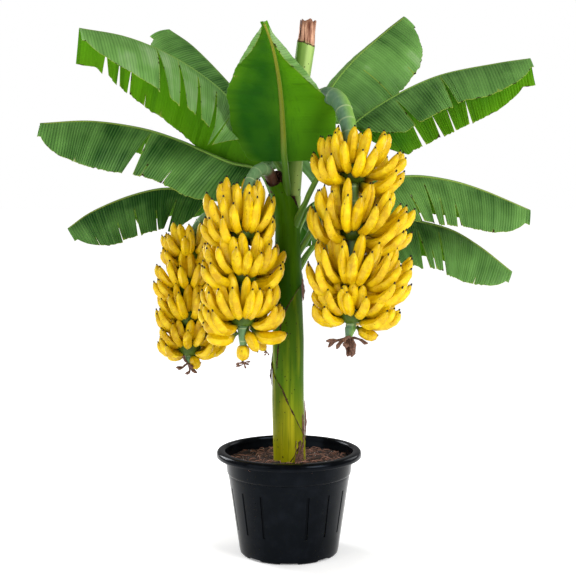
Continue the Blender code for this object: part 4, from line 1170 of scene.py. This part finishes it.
def hand_tree():
    """Geometry nodes that set three rows of bananas round a crown, each turned and sized a
    little differently, and give every banana its own tone."""
    kinds = (("banana", "Object"), ("count", "Int"), ("lift", "Float"), ("gap", "Float"))
    tree, given = node_group("Hand of bananas", (
        *((f"{row} {name}", kind) for row in ROWS for name, kind in kinds),
        ("Crown", "Vector"), ("Turn", "Float"), ("Lean", "Float"), ("Tilt", "Float"),
        ("Seed", "Int"), ("Peel", "Material")))
    whole = add(tree, "GeometryNodeJoinGeometry")
    index = add(tree, "GeometryNodeInputIndex")

    def strayed(base, least, most, seed):
        chance = add(tree, "FunctionNodeRandomValue", {0: least, 1: most, 8: seed},
                     data_type="FLOAT_VECTOR")
        return add(tree, VECTORS, (add(tree, VECTOR, base), chance), operation="ADD")

    for order, row in enumerate(ROWS):
        number, gap = given[row + " count"], given[row + " gap"]
        seed = add(tree, MATHS, (given["Seed"], 40.0 * order), operation="ADD")
        seat = add(tree, VECTOR, (0, 0, given[row + " lift"]))
        # The lowest row is parted in front, the others have a banana there
        place = add(tree, MATHS, (index, 0.0 if order else 0.5), operation="ADD")
        share = add(tree, MATHS, (place, number), operation="DIVIDE")
        around = add(tree, MATHS, (math.tau, gap), operation="SUBTRACT")
        azimuth = add(tree, MATHS, (share, around), operation="MULTIPLY")
        for more in (add(tree, MATHS, (0.5, gap), operation="MULTIPLY"), given["Turn"]):
            azimuth = add(tree, MATHS, (azimuth, more), operation="ADD")
        euler = strayed((0, 0, azimuth), (-0.16, -0.12, -0.11), (0.16, 0.12, 0.11), seed)
        side = add(tree, MATHS, [azimuth], operation="COSINE")
        lean = add(tree, MATHS, (side, given["Lean"]), operation="MULTIPLY")
        longer = add(tree, MATHS, (lean, 1.0), operation="ADD")
        scale = strayed((longer, 1.0, 1.0), (-0.09, -0.06, -0.13), (0.02, 0.08, 0.05),
                        add(tree, MATHS, (seed, 7.0), operation="ADD"))
        fruit = add(tree, "GeometryNodeObjectInfo", {"Object": given[row + " banana"]})
        set_on = add(tree, "GeometryNodeInstanceOnPoints", {
            "Points": add(tree, "GeometryNodePoints", (number, seat)),
            "Instance": fruit.outputs["Geometry"], "Scale": scale,
            "Rotation": add(tree, "FunctionNodeEulerToRotation", [euler])})
        feed(tree, whole, [toned(tree, set_on, seed)])
    set_at = add(tree, "GeometryNodeTransform", {
        "Geometry": add(tree, "GeometryNodeRealizeInstances", [whole]),
        "Translation": given["Crown"], "Rotation": add(tree, VECTOR, (0, given["Tilt"], 0))})
    done = add(tree, "GeometryNodeSetMaterial", {"Geometry": set_at, "Material": given["Peel"]})
    add(tree, "NodeGroupOutput", [done])
    return tree


hand = hand_tree()
no_ground = bpy.data.meshes.new("no_ground")
for name, bunch in BUNCHES.items():
    path = smooth_path([p for p, _ in STALKS[name]], STALK_STEPS)[STALK_HANGS:]
    for k, (height, reach, rise, number, lean, tilt) in enumerate(bunch["hands"]):
        pick = random.Random(f"{name} {k}")
        here = min(path, key=lambda p: abs(p.z - height))
        sources, given = [], {}
        for row, (out, up, leaves, ends, lift, share, gap) in ROWS.items():
            sources.append(curved_banana(row, reach * out, rise * up, leaves, ends,
                                         bunch["radius"]))
            given |= {row + "_banana": sources[-1], row + "_count": round(number * share),
                      row + "_lift": lift, row + "_gap": math.radians(gap)}
        made = grown(f"bananas_{name}_{k + 1}", hand, no_ground, Crown=(here.x, here.y, height),
                     Turn=math.radians(pick.uniform(-100, -80)), Lean=lean,
                     Tilt=math.radians(tilt), Seed=pick.randrange(1000), Peel=banana_peel,
                     **given)
        made.data.shade_smooth()
        for spare in sources:
            bpy.data.objects.remove(spare)
        fits(made, "banana_yellow", f"hand_{name}_{k + 1}")

# Odd fruit: the last, thin hand of the middle bunch lies level, and every stalk ends in small
# fruit that hang with their dried flowers.
ODD_STEPS = 200
ODD_FRUIT = {  # the node they stand for, path from neck to nub in mm, and radius in metres
    "hand_middle_4": (
        (((-146, -152, 692), (-176, -155, 680), (-211, -160, 688),
          (-244, -160, 706)), 0.0190),
        (((-108, -152, 690), (-78, -156, 664), (-40, -162, 662),
          (-4, -160, 676)), 0.0175),
        (((-108, -146, 696), (-80, -140, 700), (-50, -140, 706),
          (-22, -140, 722)), 0.0170),
        (((-104, -128, 668), (-90, -118, 650), (-78, -112, 632),
          (-66, -110, 618)), 0.0130),
        (((-120, -158, 690), (-110, -166, 664), (-99, -168, 642),
          (-88, -168, 622)), 0.0140),
        (((-146, -150, 676), (-174, -158, 658), (-206, -162, 658),
          (-236, -160, 668)), 0.0165),
        (((-130, -150, 650), (-130, -151, 632), (-131, -152, 612),
          (-132, -152, 594)), 0.0170),
    ),
    "hand_right_4": (
        (((186, -232, 702), (206, -240, 688), (224, -244, 679),
          (246, -246, 680)), 0.0150),
    ),
    "hand_back_4": (
        (((-318, 100, 588), (-334, 94, 577), (-350, 90, 574),
          (-372, 88, 578)), 0.0140),
        (((-298, 96, 580), (-288, 90, 564), (-283, 88, 548),
          (-280, 88, 534)), 0.0145),
        (((-284, 94, 588), (-262, 90, 578), (-240, 88, 582),
          (-222, 88, 594)), 0.0145),
    ),
}
for node, fruits in ODD_FRUIT.items():
    bodies = []
    for n, (controls, radius) in enumerate(fruits):
        fine = smooth_path(controls, ODD_STEPS)
        path = [fine[round(ODD_STEPS * s)] for s, _ in FINGER_PROFILE]
        bodies.append(banana_body(path, radius, (n * 0.37) % 1))
    fits(turned("odd_fruit_" + node[5:], bodies, ("along", "ridge", "tone"), banana_peel, 60),
         "banana_yellow", node)

# Dried flowers and fibres: what is left of the blossom at each stalk's end, and the papery
# strips that peel off the stem. All are brown, thin, stiff and crooked.
STRAND_SHAPE = (0.7, 0.8, 0.9, 0.7, 1.1, 1.3, 0.5)  # radius along a strand
TUFTS = (  # which stalk they end, centre, count, length, radius
    ("right", (0.162, -0.222, 0.676), 14, 0.072, 0.0046),
    ("middle", (-0.132, -0.152, 0.594), 6, 0.026, 0.0024),
    ("middle", (-0.064, -0.110, 0.616), 4, 0.016, 0.0018),
    ("back", (-0.308, 0.103, 0.552), 10, 0.046, 0.0040),
)
dried_flower, tree, shader = new_material("dried_flower_and_sheath_fibre")
feed(tree, shader, {"Roughness": 0.9, "Base Color": layered(
    tree, "#1f120d", (speckle(tree, 5, 3.0, 0.7), 0.3, 0.7, "#8a6350"))})

for n, (stalk, centre, count, length, thick) in enumerate(TUFTS):
    pick = random.Random(40 + n)
    bodies = []
    for _ in range(count):
        heading = Vector((pick.uniform(-1, 1), pick.uniform(-1, 0.6), pick.uniform(-1.6, 0.1)))
        path = [Vector(centre)]
        for _ in range(6):
            heading = (heading.normalized() + Vector([pick.uniform(-0.7, 0.7) for _ in range(3)]))
            path.append(path[-1] + heading.normalized() * length / 6 * pick.uniform(0.8, 1.1))
        bodies.append(limb(path, [thick * share for share in STRAND_SHAPE], 6))
    fits(turned(f"dried_flower_{stalk}_{n}", bodies, (), dried_flower, 50),
         "stalk_green", "stalk_" + stalk)

# Papery flaps along the sheaths' margins: azimuth, top and bottom heights, width, stand-off
FLAPS = ((80, 0.822, 0.752, 0.014, 0.008), (-84, 0.574, 0.500, 0.014, 0.009),
         (84, 0.460, 0.340, 0.010, 0.006), (60, 0.420, 0.330, 0.007, 0.004))
FIBRES = 16
FIBRE_FOOT = 0.276
bodies = []
for azimuth, top, foot, width, off in FLAPS:
    rings = []
    for s in (k / 14 for k in range(15)):
        z = top + (foot - top) * s
        x0, radius = between(PSEUDOSTEM, z)
        open_by = math.sin(math.pi * s) ** 0.7
        uneven = 0.6 + 0.4 * noise.noise(Vector((s * 6, off, 0)))
        ring = []
        for side, lift in ((-1, 0.0), (1, 1.0), (1, 1.25), (-1, 0.25)):
            a = math.radians(azimuth) + side * width * (0.2 + open_by) / 2 / radius
            r = radius + 0.0006 + lift * off * open_by * uneven
            ring.append(Vector((x0 + r * math.sin(a), -r * math.cos(a), z)))
        rings.append(ring)
    bodies.append([[sum(rings[0], Vector()) / 4], *rings, [sum(rings[-1], Vector()) / 4]])
pick = random.Random(77)
for _ in range(FIBRES):
    azimuth = math.radians(pick.uniform(24, 60))
    drift = pick.uniform(-0.5, 0.15)
    high = pick.uniform(0.296, 0.345)
    path = []
    for s in (k / 8 for k in range(9)):
        z = high + (FIBRE_FOOT - high) * s
        x0, radius = between(PSEUDOSTEM, z)
        a = azimuth + drift * s + pick.uniform(-0.04, 0.04)
        r = radius + 0.001 + 0.006 * s * s + pick.uniform(0, 0.0015)
        path.append(Vector((x0 + r * math.sin(a), -r * math.cos(a), z)))
    bodies.append(limb(path, [pick.uniform(0.0009, 0.0022)] * 9, 5))
fits(turned("papery_sheath_flaps", bodies, (), dried_flower, 50), "stem_green", "pseudostem")

# Studio: a pale, seamless floor that glows, and glows less within about 0.6 m of the pot, a
# painted shade round it in which the pot's shadow is kept.
# The soft white light comes from all sides, with a large lamp high on the right, a weaker one
# on the left and two behind that shine through the leaves and draw the pot's edges.
FLOOR_HALF = 60
PALE = linear("#fbfbfb")
paper, tree, shader = new_material("glowing_floor_paper")
away = add(tree, VECTORS, [add(tree, "ShaderNodeTexCoord").outputs["Object"]],
           operation="LENGTH").outputs["Value"]
# Painted shade: the floor's glow falls from 0.60 to 0.20 towards the pot.
feed(tree, shader, {
    "Base Color": PALE, "Roughness": 1.0, "Specular IOR Level": 0.0, "Emission Color": PALE,
    "Emission Strength": add(tree, RANGE, (away, 0.22, 0.60, 0.20, 0.60))})
floor_mesh = bpy.data.meshes.new("floor")
floor_mesh.from_pydata([(x * FLOOR_HALF, y * FLOOR_HALF, -0.0005) for x, y in
                        ((-1, -1), (1, -1), (1, 1), (-1, 1))], [], [(0, 1, 2, 3)])
floor_mesh.materials.append(paper)
floor = added("floor", floor_mesh)

world = bpy.data.worlds.new("white_studio")
world.use_nodes = True
sky = world.node_tree
ray = add(sky, "ShaderNodeLightPath").outputs
seen = add(sky, RANGE, (ray["Is Camera Ray"], 0.0, 1.0, 0.50, 1.0))
dimmed = add(sky, RANGE, (ray["Is Glossy Ray"], 0.0, 1.0, 1.0, 0.50))
strength = add(sky, MATHS, (seen, dimmed), operation="MULTIPLY")
feed(sky, sky.nodes["Background"], {"Color": (1, 1, 1, 1), "Strength": strength})
bpy.context.scene.world = world
# Name, place, height aimed at, size and power
for name, place, aim, size, power in (
        ("key", (2.6, -2.6, 2.4), 0.9, 1.8, 110), ("fill", (-2.8, -2.4, 1.8), 0.9, 2.5, 30),
        ("right_rim", (2.6, 1.9, 1.7), 0.7, 1.6, 25), ("left_rim", (-2.6, 1.9, 1.7), 0.7, 1.6, 90)):
    light = bpy.data.lights.new(name, "AREA")
    light.size, light.energy = size, power
    lamp = added(name, light)
    lamp.location = place
    lamp.rotation_euler = (Vector((0, 0, aim)) - Vector(place)).to_track_quat("-Z", "Y").to_euler()
    lamp.visible_camera = False

# Camera: level with the leaves, 3.5 m away and tipped down a little
view = bpy.data.cameras.new("camera")
view.sensor_width = 36
view.lens = 74.375
camera = added("camera", view)
camera.location = (-0.003, -3.5, 1.08)
camera.rotation_euler = (math.radians(90 - 4.73), 0, 0)
bpy.context.scene.camera = camera
bpy.context.scene.view_settings.view_transform = "Standard"
